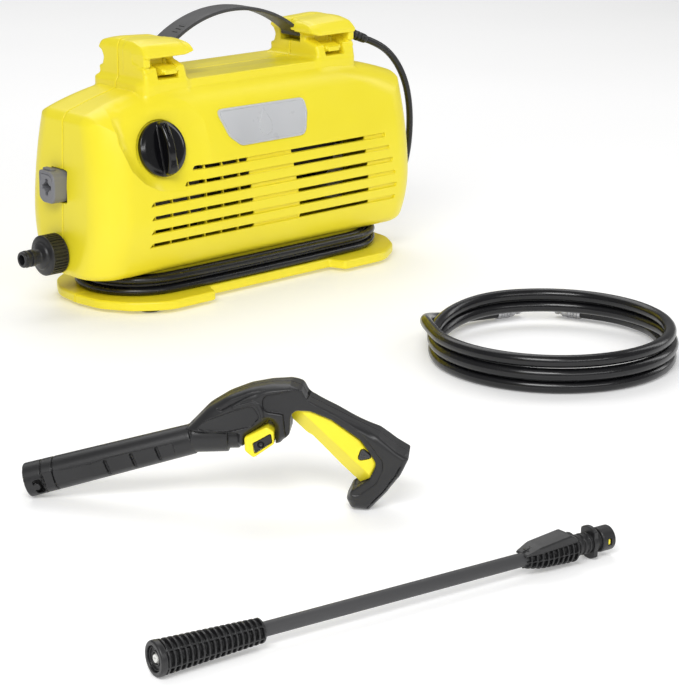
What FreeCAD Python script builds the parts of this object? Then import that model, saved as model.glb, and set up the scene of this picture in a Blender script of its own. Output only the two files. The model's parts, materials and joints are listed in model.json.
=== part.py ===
import FreeCAD, Part
import math
import os

"""Compact pressure washer set, in millimetres.

The machine stands on the floor with its base centre at the origin: +X runs along the machine
from the water side (-X) to the mains side (+X), -Y is the front with the knob, +Z is up.
The trigger gun, the spray lance and the coiled hose lie on the same floor in front of it.
"""

# ---------------------------------------------------------------- driving dimensions
BODY_HALF_LENGTH = 213.0        # housing at its foot, seam plane
BODY_HALF_DEPTH = 72.0          # widest point of the barrel-shaped front and back
BODY_FOOT_Z = 34.0
BODY_TOP_Z = 222.0
BODY_CORNER_R = 32.0
WALL = 3.0

BASE_HALF_LENGTH = 200.0
BASE_HALF_DEPTH = 86.0
BASE_BOTTOM_Z = 4.0
BASE_TOP_Z = 13.5
BASE_WING_INNER_X = 88.0
BASE_WAIST_HALF_DEPTH = 68.0

NECK_HALF_LENGTH = 168.0        # drum under the body that the mains cable is wound on
NECK_HALF_DEPTH = 48.0

TOWER_INNER_X = 86.0
TOWER_OUTER_X = 138.0
STRAP_WIDTH = 30.0
STRAP_THICK = 4.0
STRAP_APEX_Z = 282.0
STRAP_END_Z = 246.0

PORT_Y = 7.0                    # pump, motor and both water ports share this offset
INLET_Z = 57.0
OUTLET_Z = 125.0
OUTLET_BORE_R = 5.2
CONNECTOR_FACE_X = -224.0
INLET_THREAD_R = 13.2           # G3/4 male thread
NIPPLE_R = 8.5                  # garden hose click nipple

KNOB_X = -134.0
KNOB_Z = 162.0
KNOB_FRONT_Y = -65.0
KNOB_R = 27.5
KNOB_TILT = 14.0                # degrees that the knob leans back

VENT_HEIGHT = 4.0
VENTS = (                       # centre height, left end, right end
    (137.5, -98.0, 159.0),
    (123.5, -110.0, 164.0),
    (109.5, -153.0, 168.0),
    (95.5, -153.0, 172.0),
    (81.5, -153.0, 175.0),
    (67.5, -153.0, 175.0),
)

# x and z of the housing screws
SCREW_SPOTS = ((-175, 44), (190, 50), (-185, 165), (185, 165), (-60, 205), (60, 205))

MOTOR_Z = 125.5
PUMP_Z = 88.0                   # gear pair centre distance is MOTOR_Z - PUMP_Z = 37.5
GEAR_MODULE = 1.25
PINION_TEETH = 12
GEAR_TEETH = 48
STATOR_R = 42.0
ROTOR_R = 24.0
SHAFT_R = 4.0                   # ball bearings with an 8 mm bore
PISTON_R = 6.0
PISTON_CIRCLE_R = 18.0
PISTON_STROKE = 6.0
BLOCK_FACE_X = -126.0           # motor side of the cylinder block
PISTON_HEAD_X = -104.2          # swash plate side of the piston heads

CABLE_D = 7.5
CABLE_TURN_Z = 23.75            # middle of the drum
CABLE_LAYERS = 2
GLAND_ROOT = (138.0, -6.0, 240.0)
GLAND_TIP = (183.0, -9.0, 231.0)

GUN_ORIGIN = (-526.0, -409.0, 0.0)
GUN_TURN = -47.0
BARREL_R = 13.0
BARREL_RISE = 16.3
BARREL_LENGTH = 134.0
GUN_HALF_WIDTH = 15.0
TRIGGER_HALF_WIDTH = 10.0
TRIGGER_PIVOT = (203.0, 84.0)

LANCE_ORIGIN = (-646.5, -718.8, 0.0)
LANCE_TURN = -8.9
LANCE_AXIS_Z = 12.0
LANCE_TUBE_R = 5.0

HOSE_CENTRE = (30.0, -432.0)
HOSE_D = 11.5
HOSE_COIL_R = 110.0             # centre line of the hose in the coil
HOSE_COIL_HEIGHT = 36.0

V = FreeCAD.Vector
X_AXIS = V(1, 0, 0)
Y_AXIS = V(0, 1, 0)
Z_AXIS = V(0, 0, 1)


# ---------------------------------------------------------------- shape helpers
def box(x0, x1, y0, y1, z0, z1):
    return Part.makeBox(x1 - x0, y1 - y0, z1 - z0, V(x0, y0, z0))


def cyl(radius, start, axis, length):
    return Part.makeCylinder(radius, length, V(*start), axis)


def ring(outer, inner, start, axis, length):
    return cyl(outer, start, axis, length).cut(cyl(inner, start, axis, length))


def cone(r0, r1, start, axis, length):
    return Part.makeCone(r0, r1, length, V(*start), axis)


def fuse(shapes):
    return shapes[0].fuse(shapes[1:]).removeSplitter()


def group(shapes):
    return Part.makeCompound(shapes)


def to_xy(a, b):
    return V(a, b, 0)


def to_xz(a, b):
    return V(a, 0, b)


def to_yz(a, b):
    return V(0, a, b)


def outline(steps, plane):
    """Closed wire. A step is an end point, or (point on the arc, end point) for an arc."""
    edges = []
    here = plane(*steps[0])
    for step in steps[1:] + [steps[0]]:
        if isinstance(step[0], tuple):
            end = plane(*step[1])
            edges.append(Part.Arc(here, plane(*step[0]), end).toShape())
        else:
            end = plane(*step)
            if (end - here).Length < 1e-6:
                continue
            edges.append(Part.LineSegment(here, end).toShape())
        here = end
    return Part.Wire(edges)


def prism(steps, plane, start, end):
    """Outline pushed along the plane's own normal, from start to end."""
    normal = {to_xy: Z_AXIS, to_xz: Y_AXIS, to_yz: X_AXIS}[plane]
    face = Part.Face(outline(steps, plane))
    face.translate(normal * start)
    return face.extrude(normal * (end - start))


def rounded_box(half_x, half_y, radius, z0, z1):
    mid = radius * (1 - math.sqrt(0.5))
    steps = [(half_x, -half_y + radius), (half_x, half_y - radius)]
    steps.append(((half_x - mid, half_y - mid), (half_x - radius, half_y)))
    steps.append((-half_x + radius, half_y))
    steps.append(((-half_x + mid, half_y - mid), (-half_x, half_y - radius)))
    steps.append((-half_x, -half_y + radius))
    steps.append(((-half_x + mid, -half_y + mid), (-half_x + radius, -half_y)))
    steps.append((half_x - radius, -half_y))
    steps.append(((half_x - mid, -half_y + mid), (half_x, -half_y + radius)))
    return prism(steps, to_xy, z0, z1)


def moved(shape, origin, turn):
    """Turned about +Z by turn degrees, then carried to origin."""
    out = shape.copy()
    out.rotate(V(0, 0, 0), Z_AXIS, turn)
    out.translate(V(*origin))
    return out


def tube_along(points, diameter, name):
    """Straight runs joined by tangent arcs, each arc as large as its two runs allow."""
    pts = [V(*p) for p in points]
    edges = []
    radii = []
    here = pts[0]
    for i in range(1, len(pts) - 1):
        before = (pts[i] - pts[i - 1])
        after = (pts[i + 1] - pts[i])
        short = min(before.Length, after.Length)
        turn = before.getAngle(after)
        cut = 0.45 * short
        radii.append(cut / math.tan(turn / 2))
        before.normalize()
        after.normalize()
        enter = pts[i] - before * cut
        leave = pts[i] + after * cut
        bisector = (after - before).normalize()
        centre_gap = radii[-1] / math.cos(turn / 2)
        middle = pts[i] + bisector * (centre_gap - radii[-1])
        edges.append(Part.LineSegment(here, enter).toShape())
        edges.append(Part.Arc(enter, middle, leave).toShape())
        here = leave
    edges.append(Part.LineSegment(here, pts[-1]).toShape())
    path = Part.Wire(edges)
    length = path.Length
    start_axis = pts[1] - pts[0]
    section = Part.Wire(Part.makeCircle(diameter / 2, pts[0], start_axis))
    solid = path.makePipeShell([section], True, False)
    expected = math.pi * diameter * diameter / 4 * length
    print(name, "length", round(length), "least radius", round(min(radii), 1),
          "volume ratio", round(solid.Volume / expected, 4))
    return solid


def save(name, shape):
    shape.exportStep("parts/" + name + ".step")


# ---------------------------------------------------------------- housing
def body_solid(inset):
    """Barrel section along X, cut by the side view and by a plan with rounded corners."""
    w = inset
    foot = BODY_FOOT_Z + w
    right = [(55 - w, foot), ((67.3 - w, 66), (BODY_HALF_DEPTH - w, 98))]
    right.append(((67.1 - w, 156.4), (46 - 0.9 * w, 211 - w)))
    right.append((38 - 0.7 * w, BODY_TOP_Z - 3 - w))
    right.append((30 - 0.5 * w, BODY_TOP_Z - w))
    left = [(-30 + 0.5 * w, BODY_TOP_Z - w), (-38 + 0.7 * w, BODY_TOP_Z - 3 - w)]
    left.append((-46 + 0.9 * w, 211 - w))
    left.append(((-67.1 + w, 156.4), (-BODY_HALF_DEPTH + w, 98)))
    left.append(((-67.3 + w, 66), (-55 + w, foot)))
    barrel = prism(right + left, to_yz, -BODY_HALF_LENGTH + w, BODY_HALF_LENGTH - w)
    side = [(-BODY_HALF_LENGTH + w, foot), (-206 + w, 196 - 0.4 * w)]
    side.append(((-200 + w, 202.5 - 0.6 * w), (-192 + 0.8 * w, 206 - 0.8 * w)))
    side.append((-150, BODY_TOP_Z + 2 - w))
    side.append((150, BODY_TOP_Z + 2 - w))
    side.append((192 - 0.8 * w, 206 - 0.8 * w))
    side.append(((200 - w, 202.5 - 0.6 * w), (206 - w, 196 - 0.4 * w)))
    side.append((BODY_HALF_LENGTH - w, foot))
    profile = prism(side, to_xz, -90, 90)
    plan = rounded_box(BODY_HALF_LENGTH - w, BODY_HALF_DEPTH - w, BODY_CORNER_R - w, 0, 240)
    return barrel.common(profile).common(plan)


def base_plate():
    inner = BASE_WING_INNER_X
    front = -BASE_HALF_DEPTH
    waist = -BASE_WAIST_HALF_DEPTH
    arc_x = 188.0
    arc_y = 52.0
    straight_x = 140.0
    steps = [(-BASE_HALF_LENGTH, 0), ((-arc_x, -arc_y), (-straight_x, front))]
    steps += [(-inner, front), (-inner + 7, waist), (inner - 7, waist), (inner, front)]
    steps += [(straight_x, front), ((arc_x, -arc_y), (BASE_HALF_LENGTH, 0))]
    steps += [((arc_x, arc_y), (straight_x, -front)), (inner, -front)]
    steps += [(inner - 7, -waist), (-inner + 7, -waist), (-inner, -front)]
    steps += [(-straight_x, -front), ((-arc_x, arc_y), (-BASE_HALF_LENGTH, 0))]
    return prism(steps, to_xy, BASE_BOTTOM_Z, BASE_TOP_Z)


def neck_wall():
    outer = rounded_box(NECK_HALF_LENGTH, NECK_HALF_DEPTH, NECK_HALF_DEPTH - 1,
                        BASE_TOP_Z, BODY_FOOT_Z + WALL)
    hollow = rounded_box(NECK_HALF_LENGTH - WALL, NECK_HALF_DEPTH - WALL,
                         NECK_HALF_DEPTH - WALL - 1, BASE_TOP_Z, BODY_FOOT_Z + WALL)
    return outer.cut(hollow)


def tower(side):
    """Accessory holder: front beak over a groove, round clip notch at the back."""
    top = [(-26, 249), (-45, 250.5), ((-36, 259), (-22, 264)), (10, 266), (30, 257), (34, 251)]
    clip = [((25, 242), (34, 233)), (30, 214)]
    steps = [(-44, 208), (-42, 232), (-38, 238), (-27, 240), ((-22.5, 244.5), (-26, 249))]
    whole = prism(steps + top[1:] + clip, to_yz, TOWER_INNER_X, TOWER_OUTER_X)
    end_wall = box(TOWER_OUTER_X - 6, TOWER_OUTER_X, -43, -20, 236, 252)
    pocket = box(TOWER_INNER_X + WALL, TOWER_OUTER_X - WALL, -18, 20, 200, 232)
    strap_slot = box(TOWER_INNER_X - 1, TOWER_INNER_X + 16,
                     -STRAP_WIDTH / 2 - 0.4, STRAP_WIDTH / 2 + 0.4, 238, 254)
    tongue_slot = box(TOWER_INNER_X + 8, TOWER_INNER_X + 34, -44, -24, 227, 241)
    shape = whole.fuse(end_wall).cut(pocket).cut(strap_slot).cut(tongue_slot)
    if side < 0:
        shape = shape.mirror(V(0, 0, 0), X_AXIS)
    return shape


def knob_frame(shape):
    """From a frame with +Z out of the panel to the knob's place on the front."""
    out = shape.copy()
    out.rotate(V(0, 0, 0), X_AXIS, 90 - KNOB_TILT)
    out.translate(V(KNOB_X, KNOB_FRONT_Y, KNOB_Z))
    return out


def knob_boss():
    """Round dish that the knob sits in."""
    rim = ring(44, 36, (0, 0, -12), Z_AXIS, 12)
    floor = ring(44, 5.5, (0, 0, -9), Z_AXIS, 4)
    return knob_frame(rim.fuse(floor))


def vent_cuts():
    cuts = []
    for z, x0, x1 in VENTS:
        cuts.append(box(x0, x1, -BODY_HALF_DEPTH - 4, -58, z - VENT_HEIGHT / 2, z + VENT_HEIGHT / 2))
    return cuts


def port_holes():
    outlet = box(-BODY_HALF_LENGTH - 5, -190, PORT_Y - 13.4, PORT_Y + 13.4,
                 OUTLET_Z - 16.4, OUTLET_Z + 16.4)
    inlet = cyl(INLET_THREAD_R + 0.4, (-BODY_HALF_LENGTH - 5, PORT_Y, INLET_Z), X_AXIS, 30)
    return [outlet, inlet]


def screw_posts(y0, y1, radius):
    return [cyl(radius, (x, y0, z), Y_AXIS, y1 - y0) for x, z in SCREW_SPOTS]


def whole_housing():
    shell = body_solid(0).cut(body_solid(WALL))
    posts = fuse(screw_posts(-80, 80, 5.5)).common(body_solid(0.5 * WALL))
    solid = fuse([shell, base_plate(), neck_wall(), tower(1), tower(-1)])
    solid = solid.fuse(posts)
    cavity = body_solid(WALL).cut(posts)
    lower = rounded_box(NECK_HALF_LENGTH - WALL, NECK_HALF_DEPTH - WALL,
                        NECK_HALF_DEPTH - WALL - 1, BASE_TOP_Z, BODY_FOOT_Z + WALL + 1)
    solid = solid.cut(cavity).cut(lower)
    boss = knob_boss().cut(body_solid(WALL + 8))
    dish = knob_frame(cyl(36, (0, 0, -5), Z_AXIS, 30))
    solid = solid.cut(dish).fuse(boss)
    gland_hole = cyl(8.3, (GLAND_ROOT[0] - 12, GLAND_ROOT[1], GLAND_ROOT[2]), X_AXIS, 20)
    return solid.cut(vent_cuts() + port_holes() + [gland_hole])


def housing_halves():
    whole = whole_housing()
    far = 300.0
    heads = screw_posts(12, 80, 4.4)
    shanks = screw_posts(-14, 14, 2.05)
    whole = whole.cut(heads + shanks + [knob_frame(cyl(5.5, (0, 0, -20), Z_AXIS, 30))])
    front = whole.common(box(-far, far, -far, 0, -far, far))
    rear = whole.common(box(-far, far, 0, far, -far, far))
    return front, rear


def housing_screws():
    screws = []
    for x, z in SCREW_SPOTS:
        head = cyl(3.8, (x, 12, z), Y_AXIS, 3)
        shank = cyl(2.0, (x, -13, z), Y_AXIS, 26)
        screws.append(head.fuse(shank).removeSplitter())
    return group(screws)


def carry_strap():
    half = TOWER_INNER_X + 2
    rise = STRAP_APEX_Z - STRAP_THICK - STRAP_END_Z
    upper = [(-half, STRAP_END_Z + 5), ((0, STRAP_APEX_Z), (half, STRAP_END_Z + 5))]
    lower = [(half, STRAP_END_Z), ((0, STRAP_END_Z + rise), (-half, STRAP_END_Z))]
    band = prism(upper + lower, to_xz, -STRAP_WIDTH / 2, STRAP_WIDTH / 2)
    ends = []
    for side in (-1, 1):
        x0 = side * (half - 1)
        x1 = side * (TOWER_INNER_X + 15)
        ends.append(box(min(x0, x1), max(x0, x1), -STRAP_WIDTH / 2, STRAP_WIDTH / 2,
                        STRAP_END_Z - 3, STRAP_END_Z + 4))
    return fuse([band] + ends)


def accessory_tongues():
    steps = [(-43, 231), (-45, 234.5), (-41, 235.5), (-30, 237), (-25, 237), (-25, 228), (-30, 229)]
    right = prism(steps, to_yz, TOWER_INNER_X + 10, TOWER_INNER_X + 32)
    return group([right, right.mirror(V(0, 0, 0), X_AXIS)])


def badge_plate():
    top = [(-59, 18), (55, 18), ((58, 12), (56, 4))]
    rest = [(44, -12), ((41, -17), (34, -19)), (-34, -19), ((-44, -17.5), (-49, -11)), (-59, 10)]
    plate = prism(top + rest, to_xy, 0, 2.4)
    plate.rotate(V(0, 0, 0), X_AXIS, 90 - 13)
    plate.translate(V(-3, -66.2, 171))
    return plate


def rubber_feet():
    """One foot under each wing end and one under the middle."""
    spots = [(0, 0)] + [(x, y) for x in (-150, 150) for y in (-58, 58)]
    return group([cyl(11, (x, y, 0), Z_AXIS, BASE_BOTTOM_Z) for x, y in spots])


# ---------------------------------------------------------------- water side
def outlet_connector():
    steps = [(PORT_Y - 13, OUTLET_Z - 16), (PORT_Y - 13, OUTLET_Z + 16)]
    steps += [(PORT_Y + 13, OUTLET_Z + 16), ((PORT_Y + 15, OUTLET_Z), (PORT_Y + 6, OUTLET_Z - 16))]
    block = prism(steps, to_yz, CONNECTOR_FACE_X, -214)
    stem = box(-214, -198, PORT_Y - 13, PORT_Y + 13, OUTLET_Z - 16, OUTLET_Z + 16)
    bore = cyl(OUTLET_BORE_R, (CONNECTOR_FACE_X - 1, PORT_Y, OUTLET_Z), X_AXIS, 40)
    slot = box(-220.3, -213.7, PORT_Y - 3.3, PORT_Y + 11.3, OUTLET_Z + 8.5, OUTLET_Z + 20)
    return block.fuse(stem).removeSplitter().cut(bore).cut(slot)


def outlet_release_button():
    return box(-220, -214, PORT_Y - 3, PORT_Y + 11, OUTLET_Z + 11.5, OUTLET_Z + 18)


def inlet_port():
    tube = ring(INLET_THREAD_R, 8.5, (-226, PORT_Y, INLET_Z), X_AXIS, 28)
    flange = ring(17, 8.5, (-203, PORT_Y, INLET_Z), X_AXIS, 5)
    return tube.fuse(flange).removeSplitter()


def inlet_filter():
    body = ring(7.6, 6.4, (-224, PORT_Y, INLET_Z), X_AXIS, 16)
    tip = cone(7.6, 3.5, (-208, PORT_Y, INLET_Z), X_AXIS, 8)
    hollow = cone(6.4, 2.5, (-208.1, PORT_Y, INLET_Z), X_AXIS, 7)
    return body.fuse(tip.cut(hollow)).removeSplitter()


def inlet_seal():
    return ring(12.8, 8.5, (-228.3, PORT_Y, INLET_Z), X_AXIS, 2)


def inlet_adapter():
    nut = cyl(20, (-232, PORT_Y, INLET_Z), X_AXIS, 18)
    step = cyl(13, (-235, PORT_Y, INLET_Z), X_AXIS, 3)
    neck = cyl(7, (-243, PORT_Y, INLET_Z), X_AXIS, 8)
    tip = cyl(NIPPLE_R, (-256, PORT_Y, INLET_Z), X_AXIS, 7)
    middle = cyl(7.0, (-249, PORT_Y, INLET_Z), X_AXIS, 2)
    collar = cyl(NIPPLE_R, (-247, PORT_Y, INLET_Z), X_AXIS, 4)
    solid = fuse([nut, step, neck, tip, middle, collar])
    thread = cyl(INLET_THREAD_R + 0.05, (-228.4, PORT_Y, INLET_Z), X_AXIS, 20)
    bore = cyl(5.0, (-260, PORT_Y, INLET_Z), X_AXIS, 40)
    grooves = []
    for i in range(36):
        angle = math.radians(10 * i)
        y = PORT_Y + 20.4 * math.cos(angle)
        z = INLET_Z + 20.4 * math.sin(angle)
        grooves.append(cyl(1.0, (-229, y, z), X_AXIS, 20))
    return solid.cut([thread, bore] + grooves)


# ---------------------------------------------------------------- switch
def switch_knob():
    disc = cyl(KNOB_R, (0, 0, -4.5), Z_AXIS, 8)
    dome = cone(KNOB_R - 1, KNOB_R - 5, (0, 0, 3.5), Z_AXIS, 4)
    grip = [(-24, 0), (24, 0), (20, 9), (11, 14), (-11, 14), (-20, 9)]
    fin = prism(grip, to_xz, -5, 5)
    fin.translate(V(0, 0, 3))
    fin.rotate(V(0, 0, 0), Z_AXIS, 90)
    shaft = cyl(4, (0, 0, -26), Z_AXIS, 22)
    return knob_frame(fuse([disc, dome, fin, shaft]))


def switch_block():
    case = box(-15, 15, -17, 17, -46, -22)
    hole = cyl(4.05, (0, 0, -30), Z_AXIS, 10)
    tabs = []
    for x in (-9, 0, 9):
        tabs.append(box(x - 2, x + 2, -0.5, 0.5, -53, -46))
    return knob_frame(fuse([case] + tabs).cut(hole))


# ---------------------------------------------------------------- motor
def motor_stator():
    core = ring(STATOR_R, ROTOR_R + 0.8, (-38, PORT_Y, MOTOR_Z), X_AXIS, 76)
    slots = []
    for angle in (0, 180):
        slot = box(-40, 40, 24, 34, -17, 17)
        slot.rotate(V(0, 0, 0), X_AXIS, angle + 90)
        slot.translate(V(0, PORT_Y, MOTOR_Z))
        slots.append(slot)
    return core.cut(slots)


def motor_windings():
    coils = []
    for side in (1, -1):
        leg = box(-39, 39, 26, 33, -15, 15)
        leg = leg.cut(box(-40, 40, 24, 40, -6, 6))
        for x0, x1 in ((-52, -39), (39, 52)):
            leg = leg.fuse(box(x0, x1, 26, 33, -15, 15))
        leg.rotate(V(0, 0, 0), X_AXIS, 90 * side)
        leg.translate(V(0, PORT_Y, MOTOR_Z))
        coils.append(leg.removeSplitter())
    return group(coils)


def motor_armature():
    core = cyl(ROTOR_R, (-36, PORT_Y, MOTOR_Z), X_AXIS, 72)
    slots = []
    for i in range(12):
        slot = box(-37, 37, -1.0, 1.0, ROTOR_R - 7, ROTOR_R + 1)
        slot.rotate(V(0, 0, 0), X_AXIS, 30 * i)
        slot.translate(V(0, PORT_Y, MOTOR_Z))
        slots.append(slot)
    shaft = cyl(SHAFT_R, (-90, PORT_Y, MOTOR_Z), X_AXIS, 203)
    ends = []
    for x0 in (-48, 36):
        ends.append(cyl(19, (x0, PORT_Y, MOTOR_Z), X_AXIS, 12))
    return fuse([core.cut(slots), shaft] + ends)


def commutator():
    drum = ring(13, SHAFT_R, (58, PORT_Y, MOTOR_Z), X_AXIS, 18)
    gaps = []
    for i in range(24):
        gap = box(60, 77, -0.3, 0.3, 11.5, 14)
        gap.rotate(V(0, 0, 0), X_AXIS, 15 * i)
        gap.translate(V(0, PORT_Y, MOTOR_Z))
        gaps.append(gap)
    return drum.cut(gaps)


def carbon_brushes():
    brushes = []
    for side in (1, -1):
        z0 = MOTOR_Z + side * 13.2
        z1 = MOTOR_Z + side * 28
        brushes.append(box(63, 71, PORT_Y - 4, PORT_Y + 4, min(z0, z1), max(z0, z1)))
    return group(brushes)


def brush_holders():
    holders = []
    for side in (1, -1):
        z0 = MOTOR_Z + side * 17
        z1 = MOTOR_Z + side * 41
        outer = box(60.5, 73.5, PORT_Y - 6.5, PORT_Y + 6.5, min(z0, z1), max(z0, z1))
        z2 = MOTOR_Z + side * 30
        inner = box(63, 71, PORT_Y - 4, PORT_Y + 4, min(z0, z2), max(z0, z2))
        holders.append(outer.cut(inner))
    return group(holders)


def motor_fan():
    hub = ring(10, SHAFT_R, (84, PORT_Y, MOTOR_Z), X_AXIS, 12)
    plate = ring(37, 9, (84, PORT_Y, MOTOR_Z), X_AXIS, 2)
    blades = []
    for i in range(9):
        blade = box(86, 96, -0.9, 0.9, 12, 36.5)
        blade.rotate(V(91, 0, 24), Z_AXIS, 18)
        blade.rotate(V(0, 0, 0), X_AXIS, 40 * i)
        blade.translate(V(0, PORT_Y, MOTOR_Z))
        blades.append(blade)
    return fuse([hub, plate] + blades)


def motor_bearings():
    left = ring(12, SHAFT_R + 0.05, (-66, PORT_Y, MOTOR_Z), X_AXIS, 8)
    right = ring(11, SHAFT_R + 0.05, (102, PORT_Y, MOTOR_Z), X_AXIS, 8)
    return group([left, right])


def motor_end_shield():
    can = ring(STATOR_R + 2.5, STATOR_R, (30, PORT_Y, MOTOR_Z), X_AXIS, 84)
    lid = ring(STATOR_R + 2.5, 6.5, (110, PORT_Y, MOTOR_Z), X_AXIS, 4)
    seat = ring(14, 11, (101, PORT_Y, MOTOR_Z), X_AXIS, 10)
    windows = []
    for i in range(4):
        window = box(80, 98, -14, 14, 30, 50)
        window.rotate(V(0, 0, 0), X_AXIS, 90 * i + 45)
        window.translate(V(0, PORT_Y, MOTOR_Z))
        windows.append(window)
    return fuse([can, lid, seat]).cut(windows)


# ---------------------------------------------------------------- gear and pump
def gear_wheel(teeth, x0, width, bore):
    """Spur wheel on the X axis; its straight teeth are thin enough to run with play."""
    pitch_r = GEAR_MODULE * teeth / 2
    root_r = pitch_r - 1.3 * GEAR_MODULE
    tip_r = pitch_r + 0.9 * GEAR_MODULE
    base_half = 0.85 * GEAR_MODULE
    tip_half = 0.34 * GEAR_MODULE
    parts = [cyl(root_r, (x0, 0, 0), X_AXIS, width)]
    shape = [(-base_half, root_r - 0.6), (-tip_half, tip_r), (tip_half, tip_r)]
    shape.append((base_half, root_r - 0.6))
    for i in range(teeth):
        tooth = prism(shape, to_yz, x0, x0 + width)
        tooth.rotate(V(0, 0, 0), X_AXIS, 360.0 / teeth * i)
        parts.append(tooth)
    return fuse(parts).cut(cyl(bore, (x0 - 1, 0, 0), X_AXIS, width + 2))


def drive_pinion():
    solid = gear_wheel(PINION_TEETH, -86, 13, SHAFT_R)
    solid.translate(V(0, PORT_Y, MOTOR_Z))
    return solid


def reduction_gear():
    """Half a tooth is turned out of step so that a gap faces the pinion."""
    solid = gear_wheel(GEAR_TEETH, -84, 9, 6.0)
    holes = [cyl(5, (-85, 16 * math.cos(a), 16 * math.sin(a)), X_AXIS, 12)
             for a in (math.radians(60 * k) for k in range(6))]
    solid = solid.cut(holes)
    solid.rotate(V(0, 0, 0), X_AXIS, 180.0 / GEAR_TEETH)
    solid.translate(V(0, PORT_Y, PUMP_Z))
    return solid


def swash_plate():
    """Gear shaft with a wedge disc whose slanted face drives the pistons."""
    disc = cyl(27, (-100, PORT_Y, PUMP_Z), X_AXIS, 14)
    cutter = box(-60, 0, -60, 60, -60, 60)
    cutter.rotate(V(0, 0, 0), Y_AXIS, -7)
    cutter.translate(V(-96.2, PORT_Y, PUMP_Z))
    disc = disc.cut(cutter)
    shaft = cyl(6, (-88, PORT_Y, PUMP_Z), X_AXIS, 22)
    return disc.fuse(shaft).removeSplitter()


def thrust_bearing():
    plate = ring(26, 8, (-3, 0, 0), X_AXIS, 3)
    plate.rotate(V(0, 0, 0), Y_AXIS, -7)
    plate.translate(V(-96.2, PORT_Y, PUMP_Z))
    return plate


def piston_spot(index):
    angle = math.radians(90 + 120 * index)
    y = PORT_Y + PISTON_CIRCLE_R * math.cos(angle)
    return y, PUMP_Z + PISTON_CIRCLE_R * math.sin(angle)


def pump_piston(index):
    y, z = piston_spot(index)
    rod = cyl(PISTON_R, (-158, y, z), X_AXIS, 52)
    head = cyl(8.0, (-107, y, z), X_AXIS, 107 + PISTON_HEAD_X)
    return rod.fuse(head).removeSplitter()


def piston_springs():
    springs = []
    for i in range(3):
        y, z = piston_spot(i)
        springs.append(ring(8.2, 6.8, (BLOCK_FACE_X, y, z), X_AXIS, 12.4))
    return group(springs)


def piston_seals():
    seals = []
    for i in range(3):
        y, z = piston_spot(i)
        seals.append(ring(8.5, PISTON_R + 0.05, (-136, y, z), X_AXIS, 4))
    return group(seals)


def cylinder_block():
    body = cyl(32, (-166, PORT_Y, PUMP_Z), X_AXIS, BLOCK_FACE_X + 166)
    cuts = []
    for i in range(3):
        y, z = piston_spot(i)
        cuts.append(cyl(PISTON_R + 0.08, (-170, y, z), X_AXIS, 60))
        cuts.append(cyl(8.5, (-136, y, z), X_AXIS, 4))
    return body.cut(cuts)


def valve_head():
    """Head with the inlet and outlet galleries; both ports leave towards -X."""
    body = cyl(34, (-186, PORT_Y, PUMP_Z), X_AXIS, 20)
    inlet_arm = cyl(14, (-198, PORT_Y, INLET_Z + 6), X_AXIS, 14)
    outlet_arm = cyl(12, (-198, PORT_Y, OUTLET_Z), X_AXIS, 20)
    bridge = box(-186, -170, PORT_Y - 10, PORT_Y + 10, PUMP_Z + 20, OUTLET_Z + 8)
    chambers = []
    for i in range(3):
        y, z = piston_spot(i)
        chambers.append(cyl(7.0, (-176, y, z), X_AXIS, 11))
    inlet_bore = cyl(6, (-199, PORT_Y, INLET_Z), X_AXIS, 14)
    outlet_bore = cyl(3.5, (-199, PORT_Y, OUTLET_Z), X_AXIS, 16)
    rod_bore = cyl(3.06, (-180, PORT_Y, OUTLET_Z - 10), Z_AXIS, 30)
    solid = fuse([body, inlet_arm, outlet_arm, bridge])
    return solid.cut(chambers + [inlet_bore, outlet_bore, rod_bore])


def pump_valves():
    valves = []
    for i in range(3):
        y, z = piston_spot(i)
        valves.append(cyl(6.4, (-175.5, y, z), X_AXIS, 4).fuse(cyl(2, (-171.5, y, z), X_AXIS, 3)))
    return group(valves)


def pressure_rod():
    return cyl(3.0, (-180, PORT_Y, OUTLET_Z - 4), Z_AXIS, 17.2)


def microswitch():
    case = box(-190, -170, PORT_Y - 5, PORT_Y + 5, OUTLET_Z + 15.6, OUTLET_Z + 28)
    tabs = []
    for x in (-186, -174):
        tabs.append(box(x - 1.5, x + 1.5, PORT_Y - 0.5, PORT_Y + 0.5, OUTLET_Z + 28, OUTLET_Z + 34))
    return fuse([case] + tabs)


def gear_case():
    """Casting between motor and pump: bearing seat, gear chamber, pump flange."""
    top = PUMP_Z + 38
    chamber = [(PORT_Y - 34, PUMP_Z + 6), (PORT_Y - 34, PUMP_Z)]
    chamber += [((PORT_Y, PUMP_Z - 34), (PORT_Y + 34, PUMP_Z)), (PORT_Y + 34, PUMP_Z + 6)]
    chamber += [(PORT_Y + 26, top + 6), ((PORT_Y, top + 20), (PORT_Y - 26, top + 6))]
    inner = [(PORT_Y - 31.5, PUMP_Z + 6), (PORT_Y - 31.5, PUMP_Z)]
    inner += [((PORT_Y, PUMP_Z - 31.5), (PORT_Y + 31.5, PUMP_Z)), (PORT_Y + 31.5, PUMP_Z + 6)]
    inner += [(PORT_Y + 23, top + 4), ((PORT_Y, top + 17), (PORT_Y - 23, top + 4))]
    shell = prism(chamber, to_yz, BLOCK_FACE_X, -58).cut(prism(inner, to_yz, BLOCK_FACE_X, -70))
    bearing_seat = cyl(12, (-66, PORT_Y, MOTOR_Z), X_AXIS, 10)
    shaft_hole = cyl(5.4, (-72, PORT_Y, MOTOR_Z), X_AXIS, 20)
    gear_bearing = cyl(6.06, (-71, PORT_Y, PUMP_Z), X_AXIS, 6)
    return shell.cut([bearing_seat, shaft_hole, gear_bearing])


# ---------------------------------------------------------------- electrical side
def capacitor():
    can = cyl(15, (150, 10, 60), Z_AXIS, 60)
    tabs = [box(149.6, 150.4, y - 2, y + 2, 120, 128) for y in (4, 16)]
    return fuse([can] + tabs)


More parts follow.
